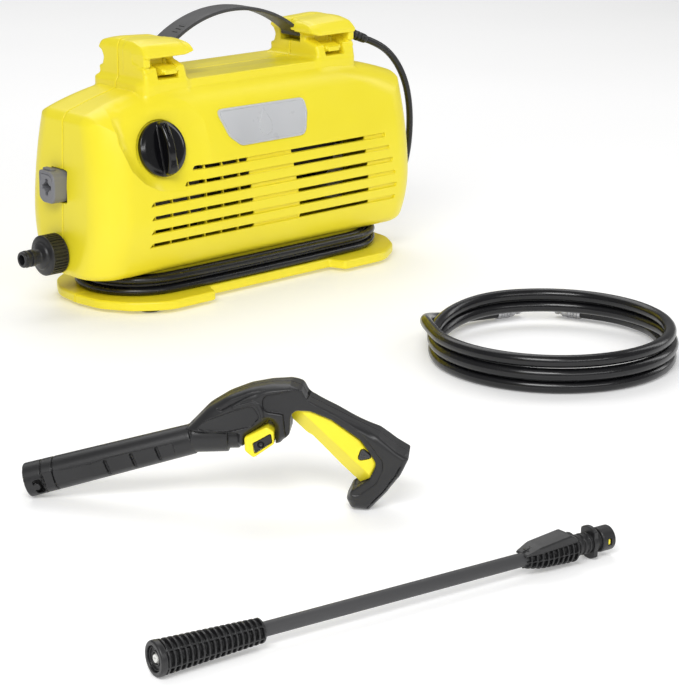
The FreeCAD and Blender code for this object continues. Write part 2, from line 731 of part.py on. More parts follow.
def cable_gland():
    """Boot that bends down with the cable, clamped inside the right tower."""
    start = V(*GLAND_ROOT)
    root = cyl(8.0, start - V(10, 0, 0), X_AXIS, 12)
    axis = V(*GLAND_TIP) - start
    boot = Part.makeCone(7.0, 5.2, axis.Length, start, axis)
    return root.fuse(boot).removeSplitter()


CABLE_RUN = (
    GLAND_TIP,
    (205, -11, 223),
    (226, -13, 205),
    (241, -14, 180),
    (249, -13, 152),
    (252, -11, 123),
    (251, -8, 94),
    (246, -3, 67),
    (236, 4, 44),
    (220, 12, 28.5),
    (201, 21, CABLE_TURN_Z),
    (179, 31, CABLE_TURN_Z),
)
CABLE_TAIL = (
    (104, 66.5, CABLE_TURN_Z),
    (86, 69, 24.5),
    (68, 76, 26),
    (52, 86, 26),
    (38, 97, 24),
    (27, 111, 21),
)
PLUG_ENTRY = (27, 111, 21)
PLUG_AXIS = (-0.62, 0.78, -0.06)


def mains_cable():
    run = tube_along(CABLE_RUN, CABLE_D, "mains run")
    tail = tube_along(CABLE_TAIL, CABLE_D, "mains tail")
    return group([run, tail])


def cable_winding():
    """Outer shape of the turns of cable on the neck."""
    play = 0.4
    thick = CABLE_LAYERS * CABLE_D + 0.6
    z0 = BASE_TOP_Z + play
    z1 = BODY_FOOT_Z - play
    inner = rounded_box(NECK_HALF_LENGTH + play, NECK_HALF_DEPTH + play, NECK_HALF_DEPTH - 1, z0, z1)
    outer = rounded_box(NECK_HALF_LENGTH + play + thick, NECK_HALF_DEPTH + play + thick,
                        NECK_HALF_DEPTH + thick - 1, z0, z1)
    return outer.cut(inner)


def mains_plug():
    entry = V(*PLUG_ENTRY)
    axis = V(*PLUG_AXIS).normalize()
    boot = Part.makeCone(5, 8, 18, entry, axis)
    body = Part.makeCylinder(18, 26, entry + axis * 18, axis)
    pins = []
    across = axis.cross(Z_AXIS).normalize()
    for side in (-1, 1):
        root = entry + axis * 44 + across * (9.5 * side)
        pins.append(Part.makeCylinder(2.4, 19, root, axis))
    return fuse([boot, body] + pins)


# ---------------------------------------------------------------- trigger gun
def gun_point(p, q):
    return V(p, 0, q)


def gun_moved(shape):
    return moved(shape, GUN_ORIGIN, GUN_TURN)


GUN_OUTLINE = [
    (116, 36), (150, 40.5), (157, 44), (162, 58), (184, 70), (192, 62), (193, 56), (197, 62),
    (197, 76), (203, 78), (213, 78.5), (229, 72), (250.5, 57), (263, 38.5), (258.5, 27),
    (246, 16), (241.6, 9), (245, 1.2), (257, 0), (270.6, 14.8), (280.3, 29.8), (287, 44.6),
    (278, 50.5), (264.4, 60.5), (225, 80), (211, 87.5), (206, 95.5), (199, 98),
    ((168, 94), (136.7, 77.3)), (122, 64),
]
GUN_CAVITY = [
    (130, 48), (130, 63), (142, 74), (160, 84.5), (178, 91), (198, 94), (203, 92.5), (208, 86.5),
    (214.5, 81.8), (231, 74.6), (253.5, 61.2), (270, 45), (267, 33), (259.5, 26), (245.5, 17.3),
    (240, 14), (238, 36), (224, 52), (214, 63), (197, 64), (197, 76.5), (190, 78), (190, 60),
    (160, 60), (150, 46),
]
TRIGGER_OUTLINE = [
    (183, 82), (183, 86), (196, 89), (203, 90.5), (209, 85), (213.5, 78.8), (229, 71.8),
    (250, 56.6), (262.6, 38.6), (257.8, 27.9), (244.7, 19.5), (238.7, 34.6), (224.9, 49.8),
    (215, 61), (199.6, 63.6), (197.9, 73.9), (198, 79), (192, 81),
]
CLIP_OUTER = [(164, 57), (184, 68), (190, 61), (186, 51), (171, 41), (164.5, 46)]
CLIP_INNER = [(168.5, 54), (183, 61.5), (185, 59), (182.5, 53), (171.5, 46), (168.5, 48.5)]
LOCK_OUTLINE = [(244, 47), (256, 49), (250, 37)]
HOSE_SOCKET_P = 176.0
HOSE_SOCKET_R = 5.2
GUN_SCREW_SPOTS = ((140, 56), (166, 82), (252, 9), (278, 44))


def barrel_axis():
    a = math.radians(BARREL_RISE)
    return V(math.cos(a), 0, math.sin(a))


def barrel_start():
    return (-3.7, 0, 13.0)


def gun_whole():
    body = prism(GUN_OUTLINE, to_xz, -GUN_HALF_WIDTH, GUN_HALF_WIDTH)
    barrel = Part.makeCylinder(BARREL_R, BARREL_LENGTH, V(*barrel_start()), barrel_axis())
    socket = Part.makeCylinder(10.2, 36, V(*barrel_start()), barrel_axis())
    bore = Part.makeCylinder(8.0, BARREL_LENGTH + 1, V(*barrel_start()), barrel_axis())
    cavity = prism(GUN_CAVITY, to_xz, -11.3, 11.3)
    clip_room = prism(grown(CLIP_OUTER, 0.4), to_xz, -20, 20)
    pivot = cyl(2.6, (TRIGGER_PIVOT[0], -13.2, TRIGGER_PIVOT[1]), Y_AXIS, 26.4)
    posts = []
    for p, q in GUN_SCREW_SPOTS:
        posts.append(cyl(4.5, (p, -12, q), Y_AXIS, 24))
    shell = body.fuse(barrel).removeSplitter().cut([cavity, socket, bore, clip_room, pivot])
    shell = shell.fuse(posts).removeSplitter()
    holes = []
    for p, q in GUN_SCREW_SPOTS:
        holes.append(cyl(1.55, (p, -12, q), Y_AXIS, 20))
        holes.append(cyl(3.2, (p, 8, q), Y_AXIS, 10))
    return shell.cut(holes)


def grown(points, margin):
    """Polygon pushed away from its centre by about margin."""
    cx = sum(p for p, q in points) / len(points)
    cq = sum(q for p, q in points) / len(points)
    out = []
    for p, q in points:
        reach = math.hypot(p - cx, q - cq)
        out.append((p + (p - cx) / reach * margin, q + (q - cq) / reach * margin))
    return out


def gun_halves():
    whole = gun_whole()
    near = whole.common(box(-20, 320, -40, 0, -10, 120))
    far = whole.common(box(-20, 320, 0, 40, -10, 120))
    return gun_moved(near), gun_moved(far)


def gun_screws():
    screws = []
    for p, q in GUN_SCREW_SPOTS:
        head = cyl(3.0, (p, 8, q), Y_AXIS, 2.4)
        shank = cyl(1.5, (p, -11, q), Y_AXIS, 19.5)
        screws.append(head.fuse(shank).removeSplitter())
    return gun_moved(group(screws))


def gun_trigger():
    lever = prism(TRIGGER_OUTLINE, to_xz, -TRIGGER_HALF_WIDTH, TRIGGER_HALF_WIDTH)
    pin = cyl(2.55, (TRIGGER_PIVOT[0], -13, TRIGGER_PIVOT[1]), Y_AXIS, 26)
    lock_room = prism(grown(LOCK_OUTLINE, 0.5), to_xz, -20, 20)
    return gun_moved(lever.fuse(pin).removeSplitter().cut(lock_room))


def gun_lock():
    return gun_moved(prism(LOCK_OUTLINE, to_xz, -TRIGGER_HALF_WIDTH - 0.8, TRIGGER_HALF_WIDTH - 2.2))


def gun_hose_clip():
    frame = prism(CLIP_OUTER, to_xz, -14, 14).cut(prism(CLIP_INNER, to_xz, -20, 20))
    hole = box(HOSE_SOCKET_P - 6, HOSE_SOCKET_P + 6, -11, 11, 30, 58)
    return gun_moved(frame.cut(hole))


def gun_valve_body():
    """Brass block from the hose socket up to the trigger valve, with a pipe to the barrel."""
    block = box(178, 189.5, -8, 8, 69.5, 77)
    socket = prism(grown(CLIP_INNER, -0.5), to_xz, -10, 10)
    pipe = cyl(3.5, (150, 0, 73), X_AXIS, 30)
    bore = cyl(HOSE_SOCKET_R, (HOSE_SOCKET_P, 0, 40), Z_AXIS, 16)
    rod_bore = cyl(2.06, (185.5, 0, 66), Z_AXIS, 15)
    return gun_moved(group([fuse([block, pipe]).cut(rod_bore), socket.cut(bore)]))


def gun_valve_rod():
    return gun_moved(cyl(2.0, (185.5, 0, 70), Z_AXIS, 11.1))


def gun_trigger_spring():
    """Return spring round the valve rod, at its pressed length."""
    return gun_moved(ring(3.4, 2.3, (185.5, 0, 77.1), Z_AXIS, 2.1))


# ---------------------------------------------------------------- spray lance
def lance_moved(shape):
    return moved(shape, LANCE_ORIGIN, LANCE_TURN)


def on_axis(x):
    return (x, 0, LANCE_AXIS_Z)


def lance_tube():
    return lance_moved(ring(LANCE_TUBE_R, 3.4, on_axis(24), X_AXIS, 282))


def lance_sleeve():
    """Tapered ribbed jacket round the nozzle end of the tube."""
    core = cone(10.6, 7.2, on_axis(3), X_AXIS, 75)
    parts = [core, cyl(11.9, on_axis(0), X_AXIS, 3.4)]
    for i in range(18):
        x = 5.5 + 4.1 * i
        radius = 11.9 - 3.6 * (x / 78.0)
        parts.append(cyl(radius, on_axis(x), X_AXIS, 1.3))
    solid = fuse(parts)
    return lance_moved(solid.cut([cyl(5.0, on_axis(20), X_AXIS, 70), cyl(7, on_axis(-1), X_AXIS, 21)]))


def lance_nozzle():
    body = cyl(6.9, on_axis(1.5), X_AXIS, 18.5)
    bore = cyl(0.6, on_axis(0), X_AXIS, 10)
    feed = cyl(3.0, on_axis(8), X_AXIS, 14)
    return lance_moved(body.cut([bore, feed]))


def lance_collar():
    """Ribbed collar, sealing neck, bayonet lugs and round head at the gun end."""
    core = cone(7.2, 9.2, on_axis(288), X_AXIS, 43)
    parts = [core]
    for i in range(10):
        x = 289 + 4.3 * i
        parts.append(cyl(8.4 + 0.06 * (x - 289), on_axis(x), X_AXIS, 1.4))
    wing = [(288, 12), (296, 20), (327, 23.5), (332, 20), (332, 12)]
    parts.append(prism(wing, to_xz, -8, 8))
    parts.append(cyl(6.6, on_axis(330), X_AXIS, 26))
    for x in (334, 338.4, 342.8):
        parts.append(cyl(7.6, on_axis(x), X_AXIS, 2))
    lugs = cyl(12.0, on_axis(347), X_AXIS, 4)
    lugs = lugs.common(box(340, 360, -7.6, 7.6, 0, 30))
    parts += [lugs, cyl(8.6, on_axis(347), X_AXIS, 4), cyl(9.0, on_axis(355), X_AXIS, 11)]
    solid = fuse(parts)
    return lance_moved(solid.cut([cyl(5.0, on_axis(287), X_AXIS, 19), cyl(3.4, on_axis(300), X_AXIS, 70)]))


# ---------------------------------------------------------------- high pressure hose
def around_coil(radius, degrees, z):
    a = math.radians(degrees)
    return (HOSE_CENTRE[0] + radius * math.cos(a), HOSE_CENTRE[1] + radius * math.sin(a), z)


UPPER_TAIL = (
    around_coil(118.5, 112, 20.5),
    around_coil(123.0, 100, 15.5),
    around_coil(126.5, 88, 10.2),
    around_coil(129.0, 77, 7.4),
    around_coil(131.0, 66, 7.0),
)
LOWER_TAIL = (
    around_coil(118.5, -14, 7.0),
    around_coil(123.0, -3, 7.1),
    around_coil(127.0, 8, 7.0),
    around_coil(129.5, 19, 7.1),
    around_coil(131.0, 30, 7.0),
)


def hose_coil():
    half = HOSE_D / 2
    return ring(HOSE_COIL_R + half + 0.5, HOSE_COIL_R - half - 0.5,
                (HOSE_CENTRE[0], HOSE_CENTRE[1], 0), Z_AXIS, HOSE_COIL_HEIGHT)


def hose_tails():
    upper = tube_along(UPPER_TAIL, HOSE_D, "hose upper tail")
    lower = tube_along(LOWER_TAIL, HOSE_D, "hose lower tail")
    coil = hose_coil()
    return group([upper.cut(coil), lower.cut(coil)])


def hose_fitting(route):
    """Crimped ferrule, plug body and sealing nipple that clicks into a socket."""
    start = V(*route[-1])
    axis = (start - V(*route[-2]))
    axis.z = 0
    axis.normalize()
    ferrule = Part.makeCylinder(7.0, 12, start, axis)
    body = Part.makeCylinder(6.4, 5, start + axis * 12, axis)
    nipple = Part.makeCylinder(5.0, 8, start + axis * 17, axis)
    return fuse([ferrule, body, nipple])


def hose_fittings():
    return group([hose_fitting(UPPER_TAIL), hose_fitting(LOWER_TAIL)])


# ---------------------------------------------------------------- all nodes
def main():
    os.makedirs("parts", exist_ok=True)
    front, rear = housing_halves()
    save("housing_front", front)
    save("housing_rear", rear)
    near, far = gun_halves()
    save("gun_housing_left", near)
    save("gun_housing_right", far)
    for index in range(3):
        save("pump_piston_" + str(index + 1), pump_piston(index))
    makers = (
        housing_screws, carry_strap, accessory_tongues, badge_plate, rubber_feet,
        outlet_connector, outlet_release_button, inlet_port, inlet_filter, inlet_seal,
        inlet_adapter, switch_knob, switch_block, motor_stator, motor_windings, motor_armature,
        commutator, carbon_brushes, brush_holders, motor_fan, motor_bearings, motor_end_shield,
        drive_pinion, reduction_gear, swash_plate, thrust_bearing, piston_springs, piston_seals,
        cylinder_block, valve_head, pump_valves, pressure_rod, microswitch, gear_case, capacitor,
        cable_gland, mains_cable, cable_winding, mains_plug, gun_screws, gun_trigger, gun_lock,
        gun_hose_clip, gun_valve_body, gun_valve_rod, gun_trigger_spring, lance_tube,
        lance_sleeve, lance_nozzle, lance_collar, hose_coil, hose_tails, hose_fittings,
    )
    for maker in makers:
        save(maker.__name__, maker())


main()
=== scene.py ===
import functools
import itertools
import json
import math

import bpy
import numpy as np
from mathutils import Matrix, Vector

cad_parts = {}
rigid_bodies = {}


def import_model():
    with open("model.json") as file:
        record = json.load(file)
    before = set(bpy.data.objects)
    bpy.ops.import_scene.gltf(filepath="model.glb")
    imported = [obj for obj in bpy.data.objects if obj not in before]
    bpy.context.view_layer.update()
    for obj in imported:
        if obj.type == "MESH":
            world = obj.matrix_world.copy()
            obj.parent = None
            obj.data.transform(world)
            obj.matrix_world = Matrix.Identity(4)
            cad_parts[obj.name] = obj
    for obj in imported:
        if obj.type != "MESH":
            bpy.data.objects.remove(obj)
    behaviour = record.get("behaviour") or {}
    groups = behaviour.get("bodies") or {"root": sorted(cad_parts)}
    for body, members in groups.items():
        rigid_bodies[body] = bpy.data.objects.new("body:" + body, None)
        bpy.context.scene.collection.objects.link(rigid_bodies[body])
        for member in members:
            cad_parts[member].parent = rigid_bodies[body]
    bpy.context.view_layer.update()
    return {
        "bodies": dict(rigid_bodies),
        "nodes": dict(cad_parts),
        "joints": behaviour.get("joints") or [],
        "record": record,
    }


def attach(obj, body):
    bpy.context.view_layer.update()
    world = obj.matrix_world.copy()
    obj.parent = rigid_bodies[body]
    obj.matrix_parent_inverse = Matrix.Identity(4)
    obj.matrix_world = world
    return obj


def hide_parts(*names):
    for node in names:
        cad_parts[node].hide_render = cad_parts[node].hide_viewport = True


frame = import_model()

# Shapes are worked out in millimetres, in the frame of the part or of one tool, and drawn in metres.
MM = 0.001
GRID_SCALE = 1.0

# ---- driving dimensions, mm
BODY_HALF_LENGTH = 213.0
BODY_FOOT_Z = 34.0
BODY_TOP_Z = 222.5
CORNER_R = 34.0
SEAM_HALF_GAP = 0.45
BASE_BOTTOM_Z, BASE_TOP_Z = 4.0, 13.5
NECK_HALF_X, NECK_HALF_Y = 168.0, 48.0
TOWER_INNER, TOWER_OUTER = 86.0, 138.0
PORT_Y = 7.0
INLET_Z = 57.0
OUTLET_Z = 125.0
KNOB = (-134.0, -65.0, 162.0)
KNOB_R = 27.5
KNOB_TILT = math.radians(14)
STRAP_WIDTH = 30.0
GLAND_ROOT = (138.0, -6.0, 240.0)
GLAND_TIP = (183.0, -9.0, 231.0)
CABLE_D = 7.5
CABLE_TURN_Z = 23.75
GUN_ORIGIN, GUN_TURN = (-526.0, -409.0, 0.0), -47.0
LANCE_ORIGIN, LANCE_TURN, LANCE_Z = (-646.5, -718.8, 0.0), -8.9, 12.0
HOSE_CENTRE, HOSE_D, HOSE_R = (30.0, -432.0), 11.5, 110.0


# ---- camera
def add_camera():
    data = bpy.data.cameras.new("view_camera")
    data.lens = 110.2
    data.sensor_width = 36.0
    camera = bpy.data.objects.new("view_camera", data)
    camera.location = (-1.35534, -1.67872, 0.58008)
    camera.rotation_euler = (math.radians(73), 0.0, math.radians(-42))
    bpy.context.scene.collection.objects.link(camera)
    bpy.context.scene.camera = camera


add_camera()


# ---- materials
def new_material(name):
    material = bpy.data.materials.new(name)
    material.use_nodes = True
    tree = material.node_tree
    shader = tree.nodes["Principled BSDF"]
    coords = tree.nodes.new("ShaderNodeTexCoord")
    return material, tree, shader, coords.outputs["Object"]


def noise(tree, coords, scale, detail=3.0, roughness=0.5):
    node = tree.nodes.new("ShaderNodeTexNoise")
    node.inputs["Scale"].default_value = scale
    node.inputs["Detail"].default_value = detail
    node.inputs["Roughness"].default_value = roughness
    tree.links.new(coords, node.inputs["Vector"])
    return node.outputs["Fac"]


def ramp(tree, value, low, high, at=(0.3, 0.7)):
    """Colour or grey ramp from low to high over the stretch at."""
    node = tree.nodes.new("ShaderNodeValToRGB")
    node.color_ramp.elements[0].position = at[0]
    node.color_ramp.elements[1].position = at[1]
    node.color_ramp.elements[0].color = (*low, 1.0)
    node.color_ramp.elements[1].color = (*high, 1.0)
    tree.links.new(value, node.inputs["Fac"])
    return node.outputs["Color"]


def grey(value):
    return (value, value, value)


def bump(tree, shader, height, distance, strength=1.0, under=None):
    node = tree.nodes.new("ShaderNodeBump")
    node.inputs["Strength"].default_value = strength
    node.inputs["Distance"].default_value = distance
    tree.links.new(height, node.inputs["Height"])
    if under is not None:
        tree.links.new(under.outputs["Normal"], node.inputs["Normal"])
    tree.links.new(node.outputs["Normal"], shader.inputs["Normal"])
    return node


def moulded(name, colour, shade, rough, grain, depth, coat=0.0):
    """Moulded plastic or rubber: slight colour drift, uneven gloss and a fine spark-eroded grain."""
    material, tree, shader, coords = new_material(name)
    drift = noise(tree, coords, 9.0, 2.0)
    tree.links.new(ramp(tree, drift, shade, colour), shader.inputs["Base Color"])
    gloss = noise(tree, coords, 60.0, 4.0)
    tree.links.new(ramp(tree, gloss, grey(rough - 0.04), grey(rough + 0.05)), shader.inputs["Roughness"])
    waves = bump(tree, shader, noise(tree, coords, 14.0, 1.0), 0.0004, 0.25)
    bump(tree, shader, noise(tree, coords, grain, 2.0), depth, 0.6, under=waves)
    shader.inputs["Coat Weight"].default_value = coat
    shader.inputs["Coat Roughness"].default_value = 0.12
    return material


def metal(name, colour, shade, rough, scale=(60.0, 1200.0, 1200.0)):
    """Machined metal: fine turning lines and small spots of wear."""
    material, tree, shader, coords = new_material(name)
    stretch = tree.nodes.new("ShaderNodeMapping")
    stretch.inputs["Scale"].default_value = scale
    tree.links.new(coords, stretch.inputs["Vector"])
    lines = noise(tree, stretch.outputs["Vector"], 1.0, 2.0)
    spots = noise(tree, coords, 140.0, 3.0)
    tree.links.new(ramp(tree, spots, shade, colour), shader.inputs["Base Color"])
    tree.links.new(ramp(tree, lines, grey(rough - 0.06), grey(rough + 0.1)), shader.inputs["Roughness"])
    bump(tree, shader, lines, 0.00008, 0.4)
    shader.inputs["Metallic"].default_value = 1.0
    return material


YELLOW = moulded("yellow_plastic", (0.93, 0.80, 0.028), (0.90, 0.76, 0.022), 0.34, 900.0, 0.00004)
BLACK = moulded("black_plastic", (0.016, 0.016, 0.017), (0.010, 0.010, 0.011), 0.38, 1400.0, 0.00010)
BLACK_GLOSS = moulded("gloss_black_plastic", (0.004, 0.004, 0.005), (0.003, 0.003, 0.004), 0.14, 700.0,
                      0.00002)
DARK_GREY = moulded("dark_grey_plastic", (0.050, 0.050, 0.052), (0.038, 0.038, 0.040), 0.50, 1500.0,
                    0.00012)
GREY = moulded("grey_plastic", (0.21, 0.21, 0.225), (0.17, 0.17, 0.185), 0.40, 1200.0, 0.00006)
WHITE = moulded("white_plastic", (0.80, 0.80, 0.77), (0.72, 0.72, 0.69), 0.40, 900.0, 0.00005)
RUBBER = moulded("rubber", (0.022, 0.022, 0.023), (0.014, 0.014, 0.015), 0.60, 1100.0, 0.00012)
CABLE = moulded("cable_sheath", (0.010, 0.010, 0.011), (0.006, 0.006, 0.007), 0.28, 700.0, 0.00006)
HOSE = moulded("hose_rubber", (0.006, 0.006, 0.007), (0.004, 0.004, 0.005), 0.24, 500.0, 0.00005)
STEEL = metal("steel", (0.58, 0.58, 0.59), (0.44, 0.44, 0.45), 0.28)
LAMINATIONS = metal("laminations", (0.36, 0.36, 0.38), (0.22, 0.22, 0.24), 0.42, (2400.0, 60.0, 60.0))
# Cast aluminium given a colour far darker than bare metal: painted shade for the dark inside of the housing
# seen through the front slots.
ALUMINIUM_PAINTED_SHADE = metal("cast_aluminium_painted_shade", (0.24, 0.24, 0.25), (0.17, 0.17, 0.18), 0.50, (500.0, 500.0, 500.0))
COPPER = metal("copper", (0.70, 0.32, 0.15), (0.50, 0.20, 0.09), 0.30)
BRASS = metal("brass", (0.78, 0.60, 0.28), (0.62, 0.45, 0.18), 0.26)
SILVER = moulded("silver_lacquer", (0.62, 0.63, 0.65), (0.50, 0.51, 0.53), 0.30, 1600.0, 0.00003, 0.4)
SLOT_MATERIALS = {
    "yellow": YELLOW, "black": BLACK, "black_gloss": BLACK_GLOSS, "dark_grey": DARK_GREY, "grey": GREY,
    "badge": SILVER, "rubber": RUBBER, "cable": CABLE, "hose": HOSE, "steel": STEEL,
    "laminations": LAMINATIONS, "aluminium": ALUMINIUM_PAINTED_SHADE, "copper": COPPER, "brass": BRASS,
    "carbon": BLACK, "white": WHITE,
}


def finish_cad_nodes():
    """Gives every CAD node the material of its slot."""
    for row in frame["record"]["subparts"]:
        node = frame["nodes"][row["node"]]
        node.data.materials.clear()
        node.data.materials.append(SLOT_MATERIALS[row["material_slot"]])


finish_cad_nodes()


# ---- signed distance fields
def union(*fields):
    return functools.reduce(np.minimum, fields)


def overlap(*fields):
    return functools.reduce(np.maximum, fields)


def minus(field, *others):
    """The field with the others taken away."""
    return functools.reduce(np.maximum, [-other for other in others], field)


def cut_to(a, b, r=0.0):
    """Overlap of two fields, with an outer edge of radius r."""
    if np.isscalar(r) and r == 0:
        return np.maximum(a, b)
    inner = np.minimum(np.maximum(a, b), -r)
    return inner + np.hypot(np.maximum(a + r, 0), np.maximum(b + r, 0))


def join(a, b, r=0.0):
    """Union of two fields, with an inner fillet of radius r."""
    return -cut_to(-a, -b, r)


def carve(a, b, r=0.0):
    return cut_to(a, -b, r)


def smooth(t):
    t = np.clip(t, 0, 1)
    return t * t * (3 - 2 * t)


def slab(v, low, high):
    return np.maximum(low - v, v - high)


def block(x, y, z, low, high, r=0.0):
    """Box from low to high with rounded edges."""
    d = [abs(v - (a + b) / 2) - (b - a) / 2 + r for v, a, b in zip((x, y, z), low, high)]
    outside = np.sqrt(sum(np.maximum(v, 0) ** 2 for v in d))
    return outside + np.minimum(np.maximum(np.maximum(d[0], d[1]), d[2]), 0) - r


def rectangle(u, v, half_u, half_v, r):
    a = abs(u) - half_u + r
    b = abs(v) - half_v + r
    return np.hypot(np.maximum(a, 0), np.maximum(b, 0)) + np.minimum(np.maximum(a, b), 0) - r


def rounded(corners, steps=5):
    """Outline with each corner (u, v, radius) as an arc; a corner with no radius stays sharp."""
    points = []
    count = len(corners)
    for i in range(count):
        here = np.array(corners[i][:2], float)
        radius = corners[i][2] if len(corners[i]) > 2 else 0.0
        before = np.array(corners[i - 1][:2], float) - here
        after = np.array(corners[(i + 1) % count][:2], float) - here
        if radius == 0:
            points.append(here)
            continue
        len_b, len_a = np.linalg.norm(before), np.linalg.norm(after)
        before, after = before / len_b, after / len_a
        half = math.acos(np.clip(before @ after, -1, 1)) / 2
        back = min(radius / math.tan(half), 0.49 * len_b, 0.49 * len_a)
        start, end = here + before * back, here + after * back
        for k in range(steps + 1):
            t = k / steps
            points.append((1 - t) ** 2 * start + 2 * t * (1 - t) * here + t * t * end)
    return points


def polygon(u, v, corners):
    """Signed distance from (u, v) to a closed outline, negative inside."""
    points = rounded(corners)
    best = np.full(np.broadcast(u, v).shape, 1e9)
    inside = np.zeros(best.shape, bool)
    for a, b in zip(points, points[1:] + points[:1]):
        eu, ev = b - a
        if eu * eu + ev * ev < 1e-12:
            continue
        du, dv = u - a[0], v - a[1]
        t = np.clip((du * eu + dv * ev) / (eu * eu + ev * ev), 0, 1)
        best = np.minimum(best, (du - eu * t) ** 2 + (dv - ev * t) ** 2)
        if ev:
            inside ^= ((a[1] > v) != (b[1] > v)) & (du < eu * dv / ev)
    return np.where(inside, -1.0, 1.0) * np.sqrt(best)


# ---- field to mesh
CORNERS = list(itertools.product((0, 1), repeat=3))
EDGES = [(a, b) for a, b in itertools.combinations(CORNERS, 2) if math.dist(a, b) == 1]


def nets(field, low, high, step):
    """Points and quads of the field's zero level inside the box, by surface nets."""
    axes = [np.arange(a, b + step, step, dtype=float) for a, b in zip(low, high)]
    grid = np.meshgrid(*axes, indexing="ij", sparse=True)
    shape = tuple(len(a) for a in axes)
    value = np.broadcast_to(field(*grid), shape).astype(np.float32)
    solid = value < 0
    cells = tuple(n - 1 for n in shape)
    count = np.zeros(cells, np.int8)
    for i, j, k in CORNERS:
        count += solid[i:cells[0] + i, j:cells[1] + j, k:cells[2] + k]
    used = (count > 0) & (count < 8)
    place = np.argwhere(used)
    index = np.full(cells, -1, np.int64)
    index[used] = np.arange(len(place))
    total = np.zeros((len(place), 3))
    hits = np.zeros(len(place))
    for a, b in EDGES:
        va = value[place[:, 0] + a[0], place[:, 1] + a[1], place[:, 2] + a[2]]
        vb = value[place[:, 0] + b[0], place[:, 1] + b[1], place[:, 2] + b[2]]
        cross = (va < 0) != (vb < 0)
        t = np.where(cross, va / np.where(cross, va - vb, 1), 0)
        point = np.array(a) + t[:, None] * (np.array(b) - np.array(a))
        total += np.where(cross[:, None], point, 0)
        hits += cross
    points = np.array([a[0] for a in axes]) + (place + total / hits[:, None]) * step
    quads = []
    for axis in range(3):
        ahead = [slice(1, n) for n in cells]
        one = list(ahead)
        two = list(ahead)
        one[axis] = slice(0, cells[axis])
        two[axis] = slice(1, cells[axis] + 1)
        first, second = solid[tuple(one)], solid[tuple(two)]
        flips = np.argwhere(first != second)
        leaving = first[tuple(flips.T)]
        flips = flips + 1
        flips[:, axis] -= 1
        u, v = [(1, 2), (2, 0), (0, 1)][axis]
        ring = []
        for du, dv in ((1, 1), (0, 1), (0, 0), (1, 0)):
            cell = flips.copy()
            cell[:, u] -= du
            cell[:, v] -= dv
            ring.append(index[tuple(cell.T)])
        ring = np.stack(ring, 1)
        ring[~leaving] = ring[~leaving][:, ::-1]
        quads.append(ring)
    return points, np.concatenate(quads)


TETRA = np.array([(1, 1, 1), (1, -1, -1), (-1, 1, -1), (-1, -1, 1)], float)


def slope(field, points, reach):
    """Field value and gradient at each point, from four samples round it."""
    samples = [field(*(points + reach * t).T) for t in TETRA]
    gradient = sum(s[:, None] * t for s, t in zip(samples, TETRA)) / (4 * reach)
    return sum(samples) / 4, gradient


def pull_on(field, points, step, rounds=2):
    """Slides the points onto the field's zero level."""
    for _ in range(rounds):
        value, gradient = slope(field, points, 0.12 * step)
        size = np.maximum((gradient ** 2).sum(1), 0.25)
        move = (value / size)[:, None] * gradient
        length = np.linalg.norm(move, axis=1, keepdims=True)
        points = points - move * np.minimum(1, 0.5 * step / np.maximum(length, 1e-9))
    return points


def link(name, mesh):
    piece = bpy.data.objects.new(name, mesh)
    bpy.context.scene.collection.objects.link(piece)
    return piece


def placed(points, origin, turn):
    """Turned about +Z by turn degrees and carried to origin, in millimetres."""
    a = math.radians(turn)
    x = points[:, 0] * math.cos(a) - points[:, 1] * math.sin(a) + origin[0]
    y = points[:, 0] * math.sin(a) + points[:, 1] * math.cos(a) + origin[1]
    return np.stack([x, y, points[:, 2] + origin[2]], 1)


def sculpt(name, field, low, high, step, material, keep=1.0, origin=(0, 0, 0), turn=0.0):
    """Mesh of a field, thinned to a share keep of its faces, with the field's own normals."""
    step *= GRID_SCALE
    points, quads = nets(field, low, high, step)
    points = pull_on(field, points, step)
    mesh = bpy.data.meshes.new(name)
    mesh.from_pydata(points.tolist(), [], quads.tolist())
    if keep < 1:
        piece = link(name, mesh)
        thin = piece.modifiers.new("thin", "DECIMATE")
        thin.ratio = keep
        depsgraph = bpy.context.evaluated_depsgraph_get()
        mesh = bpy.data.meshes.new_from_object(piece.evaluated_get(depsgraph))
        bpy.data.objects.remove(piece)
        points = np.empty(len(mesh.vertices) * 3)
        mesh.vertices.foreach_get("co", points)
        points = pull_on(field, points.reshape(-1, 3), step, 1)
    normals = slope(field, points, 0.1 * step)[1]
    normals /= np.maximum(np.linalg.norm(normals, axis=1, keepdims=True), 1e-9)
    points = placed(points, origin, turn)
    normals = placed(normals, (0, 0, 0), turn)
    mesh.vertices.foreach_set("co", (points * MM).ravel())
    mesh.polygons.foreach_set("use_smooth", [True] * len(mesh.polygons))
    mesh.materials.clear()
    mesh.materials.append(material)
    mesh.update()
    mesh.normals_split_custom_set_from_vertices(normals.tolist())
    return link(name, mesh)


# ---- housing
VENTS = (
    (137.5, -98.0, 159.0), (123.5, -110.0, 164.0), (109.5, -153.0, 168.0),
    (95.5, -153.0, 172.0), (81.5, -153.0, 175.0), (67.5, -153.0, 175.0),
)
DISH = [
    (-178, 216, 20), (-186, 190, 20), (-184, 170, 20), (-175, 146, 20), (-160, 130.5, 20),
    (-140, 121, 20), (-112, 118.5, 20), (-84, 124, 20), (-76, 150, 20), (-80, 185, 20),
    (-100, 205, 20), (-140, 216, 20),
]
TOWER_SIDE = [
    (-44.5, 204), (-44.5, 228, 2), (-41.5, 236.5, 3), (-30, 240, 2), (-23.5, 241.5, 4),
    (-24, 247, 3), (-45.5, 247.5, 0.8), (-45.8, 250.5, 1), (-37, 259, 8), (-22, 264.5, 14),
    (10, 267, 25), (30, 259, 8), (35, 250.5, 2), (29, 247.5, 3), (26, 242, 4), (28.5, 235, 3),
    (34, 233, 1.5), (33, 226, 2), (36, 222, 2), (36, 204),
]


